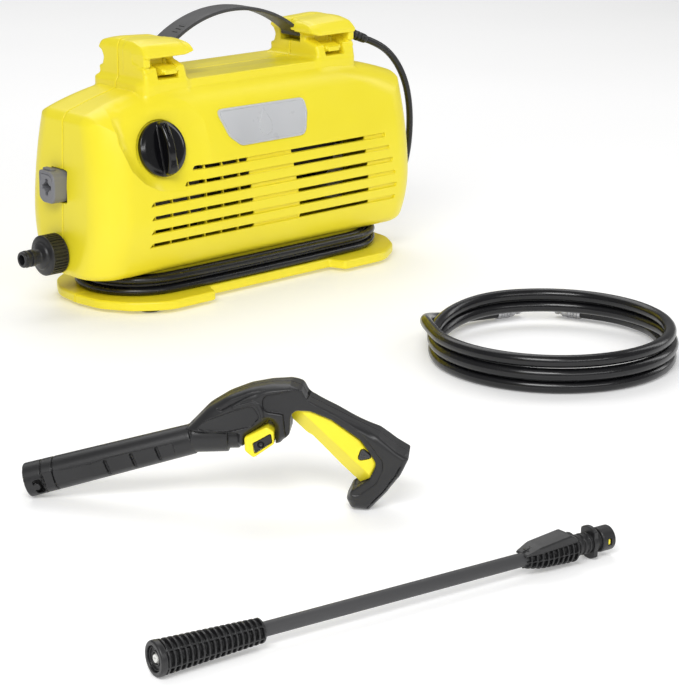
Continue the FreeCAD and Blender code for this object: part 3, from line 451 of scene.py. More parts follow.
def barrel(x, y, z):
    """Barrel-shaped body with sloping shoulders and well rounded ends."""
    d = z - 98
    curve = np.where(d > 0, 0.001437, 0.00415)
    side = (abs(y) - 72 + curve * d * d) / np.sqrt(1 + (2 * curve * d) ** 2)
    end = (abs(x) - BODY_HALF_LENGTH + 0.0432 * (z - BODY_FOOT_Z)) / 1.001
    shoulder = (abs(x) - 206) * 0.434 + (z - 197) * 0.901
    section = cut_to(side, z - BODY_TOP_Z, 28)
    ends = cut_to(end, shoulder, 8)
    return cut_to(cut_to(section, ends, CORNER_R), BODY_FOOT_Z - z, 9)


def dish(x, y, z):
    """Depth of the hollow round the knob, crisp on the left and soft on the right."""
    inside = polygon(x, z, DISH)
    width = 12 + 30 * smooth((x + 158) / 60) + 14 * smooth((z - 180) / 30)
    t = np.clip(-inside / width, 0, 1)
    return 5.5 * (1 - (1 - t) ** 2) * smooth((-y - 26) / 14)


def knob_axes(x, y, z):
    """Distance from the knob's axis and height out of the panel along it."""
    out = np.array([0.0, -math.cos(KNOB_TILT), math.sin(KNOB_TILT)])
    up = np.array([0.0, math.sin(KNOB_TILT), math.cos(KNOB_TILT)])
    dy, dz = y - KNOB[1], z - KNOB[2]
    across = x - KNOB[0]
    return across, up[1] * dy + up[2] * dz, out[1] * dy + out[2] * dz


def vent_openings(x, y, z):
    """Slots through the front, and the shallow grooves that carry their lines on."""
    through = 1e3
    groove = 1e3
    for row, (height, left, right) in enumerate(VENTS):
        across = slab(z, height - 2.0, height + 2.0)
        slant = (left + (z - height) * 0.9 - x) * 0.74
        inner_end = -30 + 1.8 * row
        line = overlap(across, slant, x - right)
        groove = union(groove, line)
        windows = union(x - inner_end, slab(x, 28.6 + 2.6 * row, 130.6 + 1.5 * row))
        through = union(through, overlap(line, windows))
    return through, groove


def towers(x, y, z):
    """Accessory holder with its overhanging cap, mirrored to both sides."""
    u = abs(x)
    side = polygon(y, z, TOWER_SIDE)
    stand = cut_to(side, slab(u, TOWER_INNER, TOWER_OUTER), 4)
    lip = cut_to(side, slab(u, TOWER_INNER - 8, TOWER_OUTER), 1.5)
    lip = overlap(lip, 247.6 - z + 0.3 * (TOWER_INNER - u), y + 10)
    outer = (u - TOWER_OUTER) * 0.55 + (z - 262) * 0.835
    inner = (z - 266.5 + 0.1 * (TOWER_OUTER - u)) * 0.995
    whole = cut_to(cut_to(join(stand, lip, 1.5), outer, 8), inner, 8)
    front_wall = block(u, y, z, (TOWER_OUTER - 8, -43.5, 238), (TOWER_OUTER, -22, 252), 2)
    return join(whole, front_wall, 2)


def tower_cuts(x, y, z):
    """Tongue slot in the front of each tower and the strap's slot in its inner face."""
    u = abs(x)
    tongue = block(u, y, z, (97, -60, 225.5), (122.5, -24, 241.0), 0.8)
    throat = block(u, y, z, (100, -60, 233), (120, -22, 246.5), 1.0)
    strap = block(u, y, z, (TOWER_INNER - 12, -15.6, 238), (102, 15.6, 300), 1.0)
    strap = overlap(strap, z - 253 - 0.3 * (u - TOWER_INNER))
    return union(tongue, throat, strap)


BASE_OUTLINE = [
    (-200, 0, 30), (-196, -34, 40), (-178, -64, 45), (-145, -86.5, 40), (-88, -86, 5),
    (-81, -68, 4), (81, -68, 4), (88, -86, 5), (145, -86.5, 40), (178, -64, 45), (196, -34, 40),
    (200, 0, 30), (196, 34, 40), (178, 64, 45), (145, 86.5, 40), (88, 86, 5), (81, 68, 4),
    (-81, 68, 4), (-88, 86, 5), (-145, 86.5, 40), (-178, 64, 45), (-196, 34, 40),
]


def base_and_neck(x, y, z):
    plate = cut_to(polygon(x, y, BASE_OUTLINE), slab(z, BASE_BOTTOM_Z, BASE_TOP_Z), 2.4)
    waist = cut_to(rectangle(x, y, 84, 67.5, 3), slab(z, BASE_BOTTOM_Z, 10.5), 1.5)
    plate = union(plate, waist)
    neck = rectangle(x, y, NECK_HALF_X, NECK_HALF_Y, NECK_HALF_Y - 1)
    tube = overlap(neck, -neck - 3, slab(z, BASE_TOP_Z - 2, BODY_FOOT_Z + 3))
    return join(plate, tube, 1.5)


SCREW_SPOTS = ((-175, 44), (190, 50), (-185, 165), (185, 165), (-60, 205), (60, 205))


def screw_columns(x, z, radius):
    columns = 1e3
    for cx, cz in SCREW_SPOTS:
        columns = union(columns, np.hypot(x - cx, z - cz) - radius)
    return columns


def front_details(x, y, z, solid, skin):
    """Knob well, slots, grooves and the thin ribs behind the slots."""
    across, up, out = knob_axes(x, y, z)
    reach = np.hypot(across, up)
    solid = carve(solid, overlap(reach - 28.7, -5.5 - out), 0.8)
    solid = overlap(solid, 4.6 - reach)
    through, groove = vent_openings(x, y, z)
    solid = carve(solid, overlap(groove, -skin - 2.2), 0.25)
    solid = minus(solid, overlap(through, -skin - 9))
    plates = overlap(abs((x + 8) % 21.5 - 10.7) - 0.9, x + 20)
    ribs = overlap(plates, groove - 2, skin + 3.9, -skin - 7.5)
    return union(solid, ribs)


def housing(x, y, z, front):
    """Front or rear half of the hollow housing, cut along the seam plane."""
    outside = barrel(x, y, z)
    skin = outside + dish(x, y, z) if front else outside
    platform = cut_to(rectangle(x, y, 141, 44.5, 14), slab(z, 190, 222), 2.2)
    solid = join(join(skin, platform, 0.6), towers(x, y, z), 6)
    inside = skin + 4.2
    if front:
        across, up, out = knob_axes(x, y, z)
        inside = overlap(inside, union(out + 9, 33 - np.hypot(across, up)))
    solid = minus(solid, inside)
    solid = union(solid, overlap(screw_columns(x, z, 6.0), outside + 2))
    if front:
        solid = front_details(x, y, z, solid, skin)
    else:
        solid = minus(solid, overlap(screw_columns(x, z, 4.2), 15 - y))
    solid = union(solid, base_and_neck(x, y, z))
    outlet = block(x, y, z, (-240, PORT_Y - 13.4, OUTLET_Z - 16.4),
                   (-190, PORT_Y + 13.4, OUTLET_Z + 16.4), 2)
    inlet = overlap(np.hypot(y - PORT_Y, z - INLET_Z) - 13.6, x + 190)
    gland = overlap(np.hypot(y - GLAND_ROOT[1], z - GLAND_ROOT[2]) - 8.4, 124 - x)
    cuts = union(outlet, inlet, gland, tower_cuts(x, y, z))
    solid = minus(solid, cuts)
    return cut_to(solid, y + SEAM_HALF_GAP if front else SEAM_HALF_GAP - y, 0.9)


def housing_front(x, y, z):
    return housing(x, y, z, True)


def housing_rear(x, y, z):
    return housing(x, y, z, False)


def add_housing():
    low, high = (-217, -91, 2), (217, 3, 271)
    front = sculpt("front_shell", housing_front, low, high, 1.2, YELLOW, keep=0.5)
    rear = sculpt("rear_shell", housing_rear, (-217, -3, 2), (217, 91, 271), 1.5, YELLOW, keep=0.4)
    for piece, node in ((front, "housing_front"), (rear, "housing_rear")):
        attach(piece, "machine")
        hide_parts(node)


add_housing()


# ---- cords
CABLE_RUN = [
    GLAND_TIP, (205, -11, 223), (226, -13, 205), (241, -14, 180), (249, -13, 152),
    (252, -11, 123), (251, -8, 94), (246, -3, 67), (236, 4, 44), (220, 12, 28.5),
    (201, 21, CABLE_TURN_Z), (179, 31, CABLE_TURN_Z),
]
CABLE_TAIL = [
    (104, 66.5, CABLE_TURN_Z), (86, 69, 24.5), (68, 76, 26), (52, 86, 26), (38, 97, 24),
    (27, 111, 21),
]
PLUG_ENTRY, PLUG_AXIS = (27.0, 111.0, 21.0), (-0.62, 0.78, -0.06)
# distance out from the drum and height of each turn of cable
CABLE_LAYERS = [(0.0, 17.8), (0.0, 29.4), (4.6, 23.7), (9.2, 17.9), (9.4, 29.3)]


def cord_curve(name, points, diameter, material, body):
    """Round cord along the points, in millimetres."""
    data = bpy.data.curves.new(name, "CURVE")
    data.dimensions = "3D"
    data.bevel_depth = diameter / 2 * MM
    data.bevel_resolution = 7
    data.use_fill_caps = True
    spline = data.splines.new("NURBS")
    spline.points.add(len(points) - 1)
    for target, point in zip(spline.points, points):
        target.co = (point[0] * MM, point[1] * MM, point[2] * MM, 1.0)
    spline.order_u = 3
    spline.use_endpoint_u = True
    spline.resolution_u = 5
    data.materials.append(material)
    cord = link(name, data)
    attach(cord, body)
    return cord


def drum_turns():
    """Turns of cable round the drum, starting and ending behind its right end."""
    straight = 121.4
    stops = [(straight, a) for a in (75, 90)]
    stops += [(x, 90) for x in range(100, -101, -25)]
    stops += [(-straight, a) for a in range(90, 271, 15)]
    stops += [(x, 270) for x in range(-100, 101, 25)]
    stops += [(straight, a) for a in range(270, 421, 15)]
    points = []
    for turn, (gap, height) in enumerate(CABLE_LAYERS):
        after = CABLE_LAYERS[min(turn + 1, len(CABLE_LAYERS) - 1)]
        for x, degrees in stops:
            angle = math.radians(degrees)
            change = float(smooth((degrees - 285) / 120))
            slack = max(0.0, 1 - (x / straight) ** 2) * (0.5 + 0.5 * turn) * (0.4 if degrees < 180 else 1.0)
            out = 50.75 + gap + (after[0] - gap) * change + slack
            middle = 1.4 if degrees % 360 < 180 else -1.4
            points.append((x + out * math.cos(angle), middle + out * math.sin(angle),
                           height + (after[1] - height) * change))
    return points


def around_hose(radius, degrees, z):
    a = math.radians(degrees)
    return (HOSE_CENTRE[0] + radius * math.cos(a), HOSE_CENTRE[1] + radius * math.sin(a), z)


def hose_route():
    """From the lower end, round the coil clockwise and up, out to the upper end."""
    route = [(131, 30, 7), (129.5, 19, 7.1), (127, 8, 7), (123, -3, 7.1), (118.5, -14, 7)]
    for degrees in range(-35, -921, -15):
        first = float(smooth((-210 - degrees) / 80))
        second = float(smooth((-570 - degrees) / 80))
        lean = 1.5 * math.sin(math.radians(degrees * 0.7 + 40))
        route.append((HOSE_R + lean, degrees, 6.0 + 12.0 * (first + second)))
    route += [(110.5, 150, 30), (112.5, 140, 30.3), (117, 128, 28.5), (121.8, 116, 23.5)]
    route += [(125.5, 104, 16.5), (127.5, 92, 10.5), (129.5, 80, 7.4), (131, 66, 7)]
    return [around_hose(*stop) for stop in route]


def along(x, y, z, start, axis):
    """Distance along and away from an axis through start."""
    size = math.sqrt(sum(c * c for c in axis))
    ax, ay, az = (c / size for c in axis)
    dx, dy, dz = x - start[0], y - start[1], z - start[2]
    run = dx * ax + dy * ay + dz * az
    away = np.sqrt(overlap(dx * dx + dy * dy + dz * dz - run * run, 0))
    return run, away


def turned(run, away, profile, r=0.6):
    """Solid of revolution from (along, radius) corners."""
    corners = [(profile[0][0], -5)] + list(profile) + [(profile[-1][0], -5)]
    return polygon(run, away, [(*c[:2], c[2] if len(c) > 2 else r) for c in corners])


def mains_plug(x, y, z):
    """Moulded round plug with a finger groove, a ribbed strain relief and two pins."""
    run, away = along(x, y, z, PLUG_ENTRY, PLUG_AXIS)
    relief = [(-1, 4.9), (14, 6.6), (20, 10, 3), (21, 17.4, 3), (28, 17.8, 3), (33, 16.2, 4),
              (38, 17.8, 2), (44, 17.8, 1.5)]
    body = turned(run, away, relief)
    slots = overlap(abs((run + 1.2) % 3.4 - 1.7) - 0.65, slab(run, 1, 15))
    body = minus(body, overlap(slots, 4.6 + 0.07 * run - away))
    ax = np.array(PLUG_AXIS) / np.linalg.norm(PLUG_AXIS)
    across = np.cross(ax, (0, 0, 1))
    across /= np.linalg.norm(across)
    for side in (-1, 1):
        root = np.array(PLUG_ENTRY) + ax * 43 + across * 9.5 * side
        pin_run, pin_away = along(x, y, z, root, ax)
        body = union(body, cut_to(pin_away - 2.4, slab(pin_run, 0, 20), 1.0))
    return body


def hose_ends(x, y, z):
    """Crimped ferrule, plug body, seal groove and nipple on both ends of the hose."""
    ends = 1e3
    for radius, degrees, before in ((131, 66, (129.5, 80)), (131, 30, (129.5, 19))):
        tip = around_hose(radius, degrees, 7)
        back = around_hose(*before, 7)
        run, away = along(x, y, z, tip, (tip[0] - back[0], tip[1] - back[1], 0))
        shape = [(-2, 6.6), (0, 7.0), (12, 7.0), (12.5, 6.4), (17, 6.4), (17.5, 5, 0.3), (19, 5, 0.2),
                 (19.3, 4.2, 0.2), (21.2, 4.2, 0.2), (21.5, 5, 0.2), (25, 5, 0.8)]
        end = turned(run, away, shape, 0.4)
        crimps = overlap(abs(run % 3.0 - 1.5) - 0.5, slab(run, 1, 11))
        end = minus(end, overlap(crimps, 6.45 - away))
        end = minus(end, overlap(away - 2.6, 14 - run))
        ends = union(ends, end)
    return ends


def add_cords():
    plug = sculpt("plug", mains_plug, (-28, 103, 0), (48, 172, 42), 0.9, BLACK)
    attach(plug, "machine")
    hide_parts("mains_plug")
    route = CABLE_RUN + drum_turns() + CABLE_TAIL
    cable = cord_curve("mains_cord", route, CABLE_D, CABLE, "machine")
    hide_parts("mains_cable", "cable_winding")
    ends = sculpt("hose_end_fittings", hose_ends, (60, -390, -1), (180, -285, 15), 0.7, STEEL)
    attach(ends, "hose")
    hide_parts("hose_fittings")
    route = hose_route()
    hose = cord_curve("pressure_hose", route, HOSE_D, HOSE, "hose")
    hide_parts("hose_coil", "hose_tails")


add_cords()


# ---- small parts of the machine
BADGE = [(-65, 191, 6), (51, 190, 7), (53, 176, 12), (47.5, 152.4, 10), (-38, 152.4, 12), (-52, 163, 14)]
DROP = [(0, 186, 0), (8, 172, 3), (8, 163, 6), (0, 158, 5), (-8, 163, 6), (-8, 172, 3)]


def badge(x, y, z):
    """Blank plate with a raised rim and a plain water drop, lying on the barrel."""
    skin = barrel(x, y, z)
    plate = polygon(x, z, BADGE)
    body = cut_to(plate, overlap(skin - 1.9, -skin - 0.8), 0.7)
    inset = overlap(plate + 2.2, 1.3 - skin)
    body = carve(body, inset, 0.4)
    drop = cut_to(polygon(x + 4, z, DROP), overlap(skin - 1.8, 0.5 - skin), 0.4)
    return overlap(union(body, drop), y)


def knob(x, y, z):
    """Round switch with a raised pointer grip and a thin ring round its face."""
    across, up, out = knob_axes(x, y, z)
    reach = np.hypot(across, up)
    disc = cut_to(reach - KNOB_R, slab(out, -4.5, 4.0), 1.4)
    face = np.hypot(reach, out + 60) - 66.5
    disc = cut_to(disc, face, 0.5)
    dip = overlap(reach - 25.6, 2.6 - out)
    disc = carve(disc, dip, 0.8)
    right = across - 4.5 - 3.2 * smooth((12 - up) / 26)
    left = -across - 4.5
    body = cut_to(cut_to(right, left, 2.0), reach - 26.2, 3)
    crown = out - 15.5 + 0.011 * up ** 2
    flute = np.hypot(across - 10.5, (out - 17) * 0.9) - 7.0
    grip = cut_to(overlap(body, -3 - out), crown, 2.4)
    grip = carve(grip, flute, 1.0)
    mark = block(across, up, out, (-0.9, 11, 8), (0.9, 24, 30), 0.3)
    grip = carve(grip, overlap(mark, 11.2 - out - 0.012 * up ** 2), 0.2)
    stem = overlap(reach - 4, slab(out, -26, -3))
    return union(join(disc, grip, 1.6), stem)


def strap(x, y, z):
    """Sprung carry strap, its ends let into the towers."""
    centre = 141.6
    reach = np.hypot(x, z - centre)
    edge = 0.25 * smooth((abs(y) - 11) / 2)
    arc = abs(reach - 138.4) - 2.0 + edge
    band = cut_to(arc, abs(y) - STRAP_WIDTH / 2, 1.0)
    band = overlap(band, abs(x) - 92)
    ends = block(abs(x), y, z, (86, -15, 243.4), (101, 15, 248.8), 1.0)
    turn = np.arctan2(x, z - centre) * 138.4
    ticks = overlap(abs((turn + 60) % 5.0 - 2.5) - 0.55, slab(turn, -74, -60))
    ticks = overlap(ticks, slab(y, -9, -1), abs(reach - 140.3) - 0.6)
    return union(join(band, ends, 1.5), ticks)


def connector(x, y, z):
    """Outlet for the hose: rounded block, keyed bore and a slot for the release button."""
    outline = [(-6, 109, 9), (-6, 141, 11), (20, 141, 4), (20.5, 113, 6), (14, 109, 5)]
    block_part = cut_to(polygon(y, z, outline), slab(x, -223.6, -198), 1.6)
    bore = np.hypot(y - PORT_Y, z - OUTLET_Z) - 5.2
    upright = rectangle(y - PORT_Y, z - OUTLET_Z, 2.2, 8.2, 0.6)
    key = union(upright, rectangle(y - PORT_Y, z - OUTLET_Z, 7.4, 2.2, 0.6))
    hole = union(bore, key)
    block_part = carve(block_part, overlap(hole, x + 203), 0.4)
    rim = abs(polygon(y, z, outline) + 3.2) - 0.35
    block_part = carve(block_part, overlap(rim, x + 222.9, OUTLET_Z + 6 - z), 0.15)
    slot = block(x, y, z, (-220.6, PORT_Y - 3.4, 133.4), (-213.4, PORT_Y + 11.4, 160), 0.8)
    return minus(block_part, slot)


def release_button(x, y, z):
    press = block(x, y, z, (-220, PORT_Y - 3, 136.5), (-214, PORT_Y + 11, 143), 1.1)
    grips = abs((y - PORT_Y) % 2.4 - 1.2) - 0.4
    return carve(press, overlap(grips, 142.4 - z), 0.15)


def adapter(x, y, z):
    """Ribbed nut with the stepped click nipple of a garden hose adapter."""
    run, away = -x, np.hypot(y - PORT_Y, z - INLET_Z)
    shape = [(213, 19.2, 1), (214, 20.2, 1), (231, 20.2, 1), (232, 18.6, 1.2), (233, 14, 2), (235, 12.6, 1),
             (237, 7.4, 2), (242.6, 7.0, 0.5), (243, 8.5, 0.4), (246.8, 8.5, 0.4), (247.2, 6.9, 0.3),
             (248.8, 6.9, 0.3), (249.2, 8.5, 0.4), (252.4, 8.5, 0.3), (252.8, 7.6, 0.3), (253.8, 7.6, 0.3),
             (254.1, 8.3, 0.3), (256, 7.6, 0.8)]
    body = turned(run, away, shape)
    angle = np.arctan2(z - INLET_Z, y - PORT_Y)
    pitch = math.radians(10)
    ribs = abs(angle % pitch - pitch / 2) * 20 - 0.75
    grooves = overlap(ribs, 18.9 - away, slab(run, 215.2, 229.6))
    body = carve(body, grooves, 0.3)
    thread = overlap(away - 13.4, run - 228.5)
    return minus(overlap(body, 5.0 - away), thread)


def gland(x, y, z):
    """Ribbed, tapering bend protection that points down the cable."""
    line = [(126, -6, 240), (140, -6, 240.6), (153, -6.6, 240), (168, -7.8, 237), GLAND_TIP]
    best, run_at, start = None, None, 0.0
    for a, b in zip(line, line[1:]):
        length = math.dist(a, b)
        run, away = along(x, y, z, a, [q - p for p, q in zip(a, b)])
        inside = np.clip(run, 0, length)
        gap = np.sqrt(away ** 2 + (run - inside) ** 2)
        if best is None:
            best, run_at = gap, inside
        else:
            nearer = gap < best
            best = np.where(nearer, gap, best)
            run_at = np.where(nearer, start + inside, run_at)
        start += length
    radius = 7.4 - 0.042 * run_at
    ribs = abs((run_at - 2) % 5.2 - 2.6)
    radius = radius - 1.3 * smooth((1.5 - ribs) / 0.8) * (run_at > 18) * (run_at < 56)
    body = best - radius
    flange = cut_to(np.hypot(y + 6, z - 240) - 8.2, slab(x, 128, 141), 1.2)
    return union(body, flange)


TONGUE = [(-45.2, 232.5, 1), (-44, 235.2, 1), (-36, 237.2, 1), (-25, 237.4, 0), (-25, 229, 0),
          (-36, 227.6, 1),
          (-42.5, 230.3, 1)]


def tongues(x, y, z):
    u = abs(x)
    plate = cut_to(polygon(y, z, TONGUE), slab(u, 97.5, 117.5), 0.8)
    pad = block(u, y, z, (100, -46.4, 229.6), (115, -40, 234.5), 1.2)
    return join(plate, pad, 1.0)


def foot_pads(x, y, z):
    pads = 1e3
    for cx, cy in ((0, 0), (-150, -58), (-150, 58), (150, -58), (150, 58)):
        reach = np.hypot(x - cx, y - cy)
        pad = cut_to(reach - 11, slab(z, 0, 4.2), 1.0)
        pad = carve(pad, overlap(abs(reach - 6) - 1.2, z - 1.2), 0.3)
        pads = union(pads, pad)
    return pads


def add_small_parts():
    rows = (
        ("badge_shield", badge, (-69, -74, 149), (56, -54, 195), 0.8, SILVER, "machine", "badge_plate"),
        ("switch_dial", knob, (-164, -87, 132), (-104, -36, 192), 0.62, BLACK_GLOSS, "knob", "switch_knob"),
        ("strap_band", strap, (-103, -17, 240), (103, 17, 285), 0.85, DARK_GREY, "machine", "carry_strap"),
        ("hose_connector", connector, (-225, -8, 107), (-196, 22, 143), 0.6, GREY, "machine",
         "outlet_connector"),
        ("connector_button", release_button, (-222, 2, 135), (-212, 20, 145), 0.5, GREY, "release_button",
         "outlet_release_button"),
        ("inlet_nut", adapter, (-258, -15, 35), (-211, 29, 79), 0.62, BLACK, "inlet_adapter",
         "inlet_adapter"),
        ("cable_relief", gland, (124, -16, 224), (190, 4, 250), 0.6, BLACK, "machine", "cable_gland"),
        ("tower_tongues", tongues, (-119, -48, 226), (119, -23, 239), 0.8, YELLOW, "machine",
         "accessory_tongues"),
        ("foot_pads", foot_pads, (-163, -71, -1), (163, 71, 6), 1.0, RUBBER, "machine", "rubber_feet"),
    )
    for name, field, low, high, step, material, body, node in rows:
        piece = sculpt(name, field, low, high, step, material)
        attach(piece, body)
        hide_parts(node)


add_small_parts()


# ---- trigger gun
# Local frame: p along the gun from its muzzle, q up; the near side of the photo is y < 0.
BARREL_START, BARREL_LENGTH, BARREL_R = (-3.7, 0.0, 13.0), 133.0, 13.2
BARREL_TAPER = 1.7
BARREL_RISE = math.radians(16.3)
GUN_HALF_WIDTH, TRIGGER_HALF_WIDTH = 15.0, 10.0
GUN_OUTLINE = [
    (112, 44), (128, 45, 8), (150, 45, 6), (158, 46.5, 5), (164, 49, 3), (166, 57, 3), (183, 70, 3),
    (186.4, 66, 1.5), (186.8, 50.6, 1.5), (191, 52.2, 3), (198, 60.2, 3), (199, 75, 3), (203, 78.5, 4),
    (213, 78.5, 8), (229, 72, 8), (250.5, 57, 8), (263, 38.5, 8), (257, 26, 6), (244, 17, 4),
    (239.6, 9, 4), (243.5, 1.2, 4), (257, 0, 2.5), (270.6, 14.8, 10), (280.3, 29.8, 10),
    (287, 44.6, 1.5), (277, 50.5, 10), (264.4, 60.5, 12), (225, 80, 14), (211, 87, 10), (207, 95, 5),
    (198, 98, 6), (184, 97.4, 30), (168, 94, 30), (152, 87.4, 30), (136.7, 77.6, 30), (124, 64, 20),
    (112, 52, 3),
]
TRIGGER_OUTLINE = [
    (183, 82, 1), (183, 86, 1), (196, 89, 2), (203, 90.5, 4), (210, 86, 5), (214, 79.5, 4), (229, 72.3, 10),
    (250, 56.5, 8), (263.8, 38.6, 6), (258.6, 26.5, 4), (246.2, 17.2, 2.5), (238, 31, 10), (224, 46.2, 10),
    (214, 56.5, 8), (199.5, 61.2, 3), (198.2, 73.9, 2), (198, 79, 1), (192, 81, 1),
]
CLIP_OUTER = [(164.2, 57, 3), (181.5, 66, 3.5), (186.6, 62, 2.5), (186.6, 52.5, 2), (171, 41, 3),
              (164.6, 46.5, 3)]
CLIP_INNER = [(170.4, 52.8, 1.5), (184.4, 61.2, 1.2), (185.4, 53.6, 1.0), (171.8, 44.0, 1.2)]
LOCK_OUTLINE = [(251.6, 50.2, 2.2), (260.2, 42.8, 2.2), (248.3, 40.0, 2.2)]
PANEL = [(128, 62, 3), (136, 69.5, 5), (157, 78, 8), (171, 82, 5), (176, 73, 4), (170, 66, 4),
         (152, 61.5, 4)]
LEAF = [(143.8, 78.2, 2), (145.5, 83, 2.5), (157, 91, 12), (184, 96.2, 0.8), (165, 87.6, 12),
        (147.5, 77.6, 2)]
RIM = [(157, 80.4), (171, 84.9), (175.2, 83.2), (177.4, 79), (178.3, 74)]
PULLED = math.radians(6)
TRIGGER_PIN = (203, 84)


def barrel_axes(p, y, q):
    """Distance along the barrel, sideways in its own plane and away from its axis."""
    c, s = math.cos(BARREL_RISE), math.sin(BARREL_RISE)
    dp, dq = p - BARREL_START[0], q - BARREL_START[2]
    run = dp * c + dq * s
    over = -dp * s + dq * c
    return run, over, np.hypot(y, over)


def gun_barrel(p, y, q):
    """Tapered barrel with a collar seam, a flattened side panel and three grooves."""
    run, over, away = barrel_axes(p, y, q)
    radius = BARREL_R - BARREL_TAPER * run / BARREL_LENGTH
    tube = cut_to(away - radius, slab(run, 0, BARREL_LENGTH), 0.7)
    top_line = 5.4 - 1.7 * smooth((run - 20) / 20) + 0.9 * smooth((run - 57) / 9)
    top_line = top_line - 1.2 * smooth((run - 75) / 50)
    flat = 10.6 + 1.1 * smooth((57 - run) / 9)
    panel = overlap(slab(run, 15.5, 119), over - top_line)
    tube = carve(tube, overlap(panel, flat - abs(y)), 0.4)
    seam = overlap(abs(run - 14.5) - 0.5, radius - 0.9 - away)
    tube = carve(tube, seam, 0.2)
    for spot in (65, 86, 106):
        groove = overlap(abs(run - spot + 0.1 * over) - 1.0, slab(over, -9.0, 3.2))
        tube = carve(tube, overlap(groove, 8.6 - abs(y)), 0.3)
    return tube


def gun_drum(p, y, q):
    """Cylinder behind the barrel, with a step and a narrower neck towards the clip."""
    away = np.hypot(y, q - 52.6 - 0.06 * (p - 125))
    wide = cut_to(away - 12.4, slab(p, 123.5, 151.5), 1.2)
    return union(wide, cut_to(away - 10.0, slab(p, 140, 160), 1.5))


def near_line(p, q, line, radius):
    """Distance in the side view from a chain of straight pieces."""
    best = 1e3
    for (p0, q0), (p1, q1) in zip(line, line[1:]):
        du, dv = p1 - p0, q1 - q0
        t = np.clip(((p - p0) * du + (q - q0) * dv) / (du * du + dv * dv), 0, 1)
        best = union(best, np.hypot(p - p0 - t * du, q - q0 - t * dv))
    return best - radius


def gun_waist(p, q):
    """Half width of the gun's body: slimmer in the handle and low at the front, wider in the butt."""
    butt = smooth((p - 262 + 0.5 * (q - 30)) / 26)
    thin = 5.6 * smooth((61.5 - q) / 3) * smooth((163 - p) / 6)
    return GUN_HALF_WIDTH - 2.0 * smooth((p - 205) / 20) + 4.0 * butt - thin, butt


def gun_shell(p, y, q):
    """Both halves of the gun's body with its barrel, before the cuts for the other parts."""
    side = polygon(p, q, GUN_OUTLINE)
    lever = polygon(p, q, TRIGGER_OUTLINE)
    waist, butt = gun_waist(p, q)
    edge = 2.2 + 6.6 * smooth((lever - 3) / 8) * (1 - 0.72 * butt)
    body = cut_to(side, abs(y) - waist, edge)
    body = join(union(body, gun_drum(p, y, q)), gun_barrel(p, y, q), 0.8)
    body = carve(body, overlap(polygon(p, q, PANEL), 13.6 - abs(y)), 0.5)
    body = carve(body, overlap(polygon(p, q, LEAF), 12.6 - abs(y)), 0.6)
    rim = cut_to(near_line(p, q, RIM, 1.4), slab(abs(y), 10, 16.0), 0.9)
    body = join(body, rim, 0.5)
    body = carve(body, overlap(lever - 4.6, 12.7 - abs(y)), 1.4)
    plate = abs(side + 3.4 - 100 * (1 - smooth((p - 262 - 0.7 * (q - 12)) / 2 + 1))) - 0.45
    return carve(body, overlap(plate, -body - 0.9), 0.2)


def pulled_trigger(p, q, angle):
    """Side view of the lever, turned about its pin."""
    dp, dq = p - TRIGGER_PIN[0], q - TRIGGER_PIN[1]
    back_p = dp * math.cos(angle) + dq * math.sin(angle)
    back_q = dq * math.cos(angle) - dp * math.sin(angle)
    return polygon(back_p + TRIGGER_PIN[0], back_q + TRIGGER_PIN[1], TRIGGER_OUTLINE)


def gun_cuts(p, y, q):
    """Room for the lance, the trigger and its swing, the clip, and the hollow inside."""
    run, over, away = barrel_axes(p, y, q)
    socket = overlap(away - 10.2, run - 36)
    key = overlap(cut_to(slab(run, 6.8, 13.4), slab(over, -10.0, 2.0), 2.0), y + 4)
    key = overlap(key, 2.8 - np.hypot(run - 8.8, over + 3.6))
    bore = overlap(away - 8, run - 60)
    swing = union(*(pulled_trigger(p, q, angle) for angle in (0, 0.5 * PULLED, PULLED)))
    trigger_room = overlap(swing - 0.7, abs(y) - TRIGGER_HALF_WIDTH - 0.9)
    clip_room = polygon(p, q, CLIP_OUTER) - 0.5
    pivot = overlap(np.hypot(p - TRIGGER_PIN[0], q - TRIGGER_PIN[1]) - 2.7, abs(y) - 11.8)
    inside = overlap(polygon(p, q, GUN_OUTLINE) + 3.6, abs(y) - gun_waist(p, q)[0] + 5.0)
    inside = overlap(inside, 132 - p, p - 236)
    return union(socket, key, bore, trigger_room, clip_room, pivot, inside)


GUN_SCREWS = ((140, 56), (166, 82), (252, 9), (278, 44))


def gun_body(p, y, q, near):
    solid = minus(gun_shell(p, y, q), gun_cuts(p, y, q))
    posts, holes = 1e3, 1e3
    for sp, sq in GUN_SCREWS:
        reach = np.hypot(p - sp, q - sq)
        posts = union(posts, reach - 4.5)
        holes = union(holes, reach - 3.2)
    solid = union(solid, overlap(posts, abs(y) - 11.4))
    if near:
        return cut_to(solid, y + 0.1, 0.4)
    solid = minus(solid, overlap(holes, 8 - y))
    return cut_to(solid, 0.1 - y, 0.4)


def gun_near(p, y, q):
    return gun_body(p, y, q, True)


def gun_far(p, y, q):
    return gun_body(p, y, q, False)


def trigger(p, y, q):
    """Lever with rounded edges and a ridge down its side, hung on a pin."""
    side = polygon(p, q, TRIGGER_OUTLINE)
    lever = cut_to(side, abs(y) - TRIGGER_HALF_WIDTH, 3.0)
    front = (p - 216.6) * 0.692 + (q - 68) * 0.722
    bevel = overlap(-front, 0) * 0.85
    lever = overlap(lever, abs(y) - TRIGGER_HALF_WIDTH + bevel)
    shelf = smooth((p - 196) / 10)
    lever = overlap(lever, abs(y) - TRIGGER_HALF_WIDTH + 1 - shelf)
    pin = cut_to(np.hypot(p - TRIGGER_PIN[0], q - TRIGGER_PIN[1]) - 2.55, abs(y) - 11.5, 0.3)
    lock_room = overlap(polygon(p, q, LOCK_OUTLINE) - 0.45, abs(y) - 30)
    return minus(union(lever, pin), lock_room)


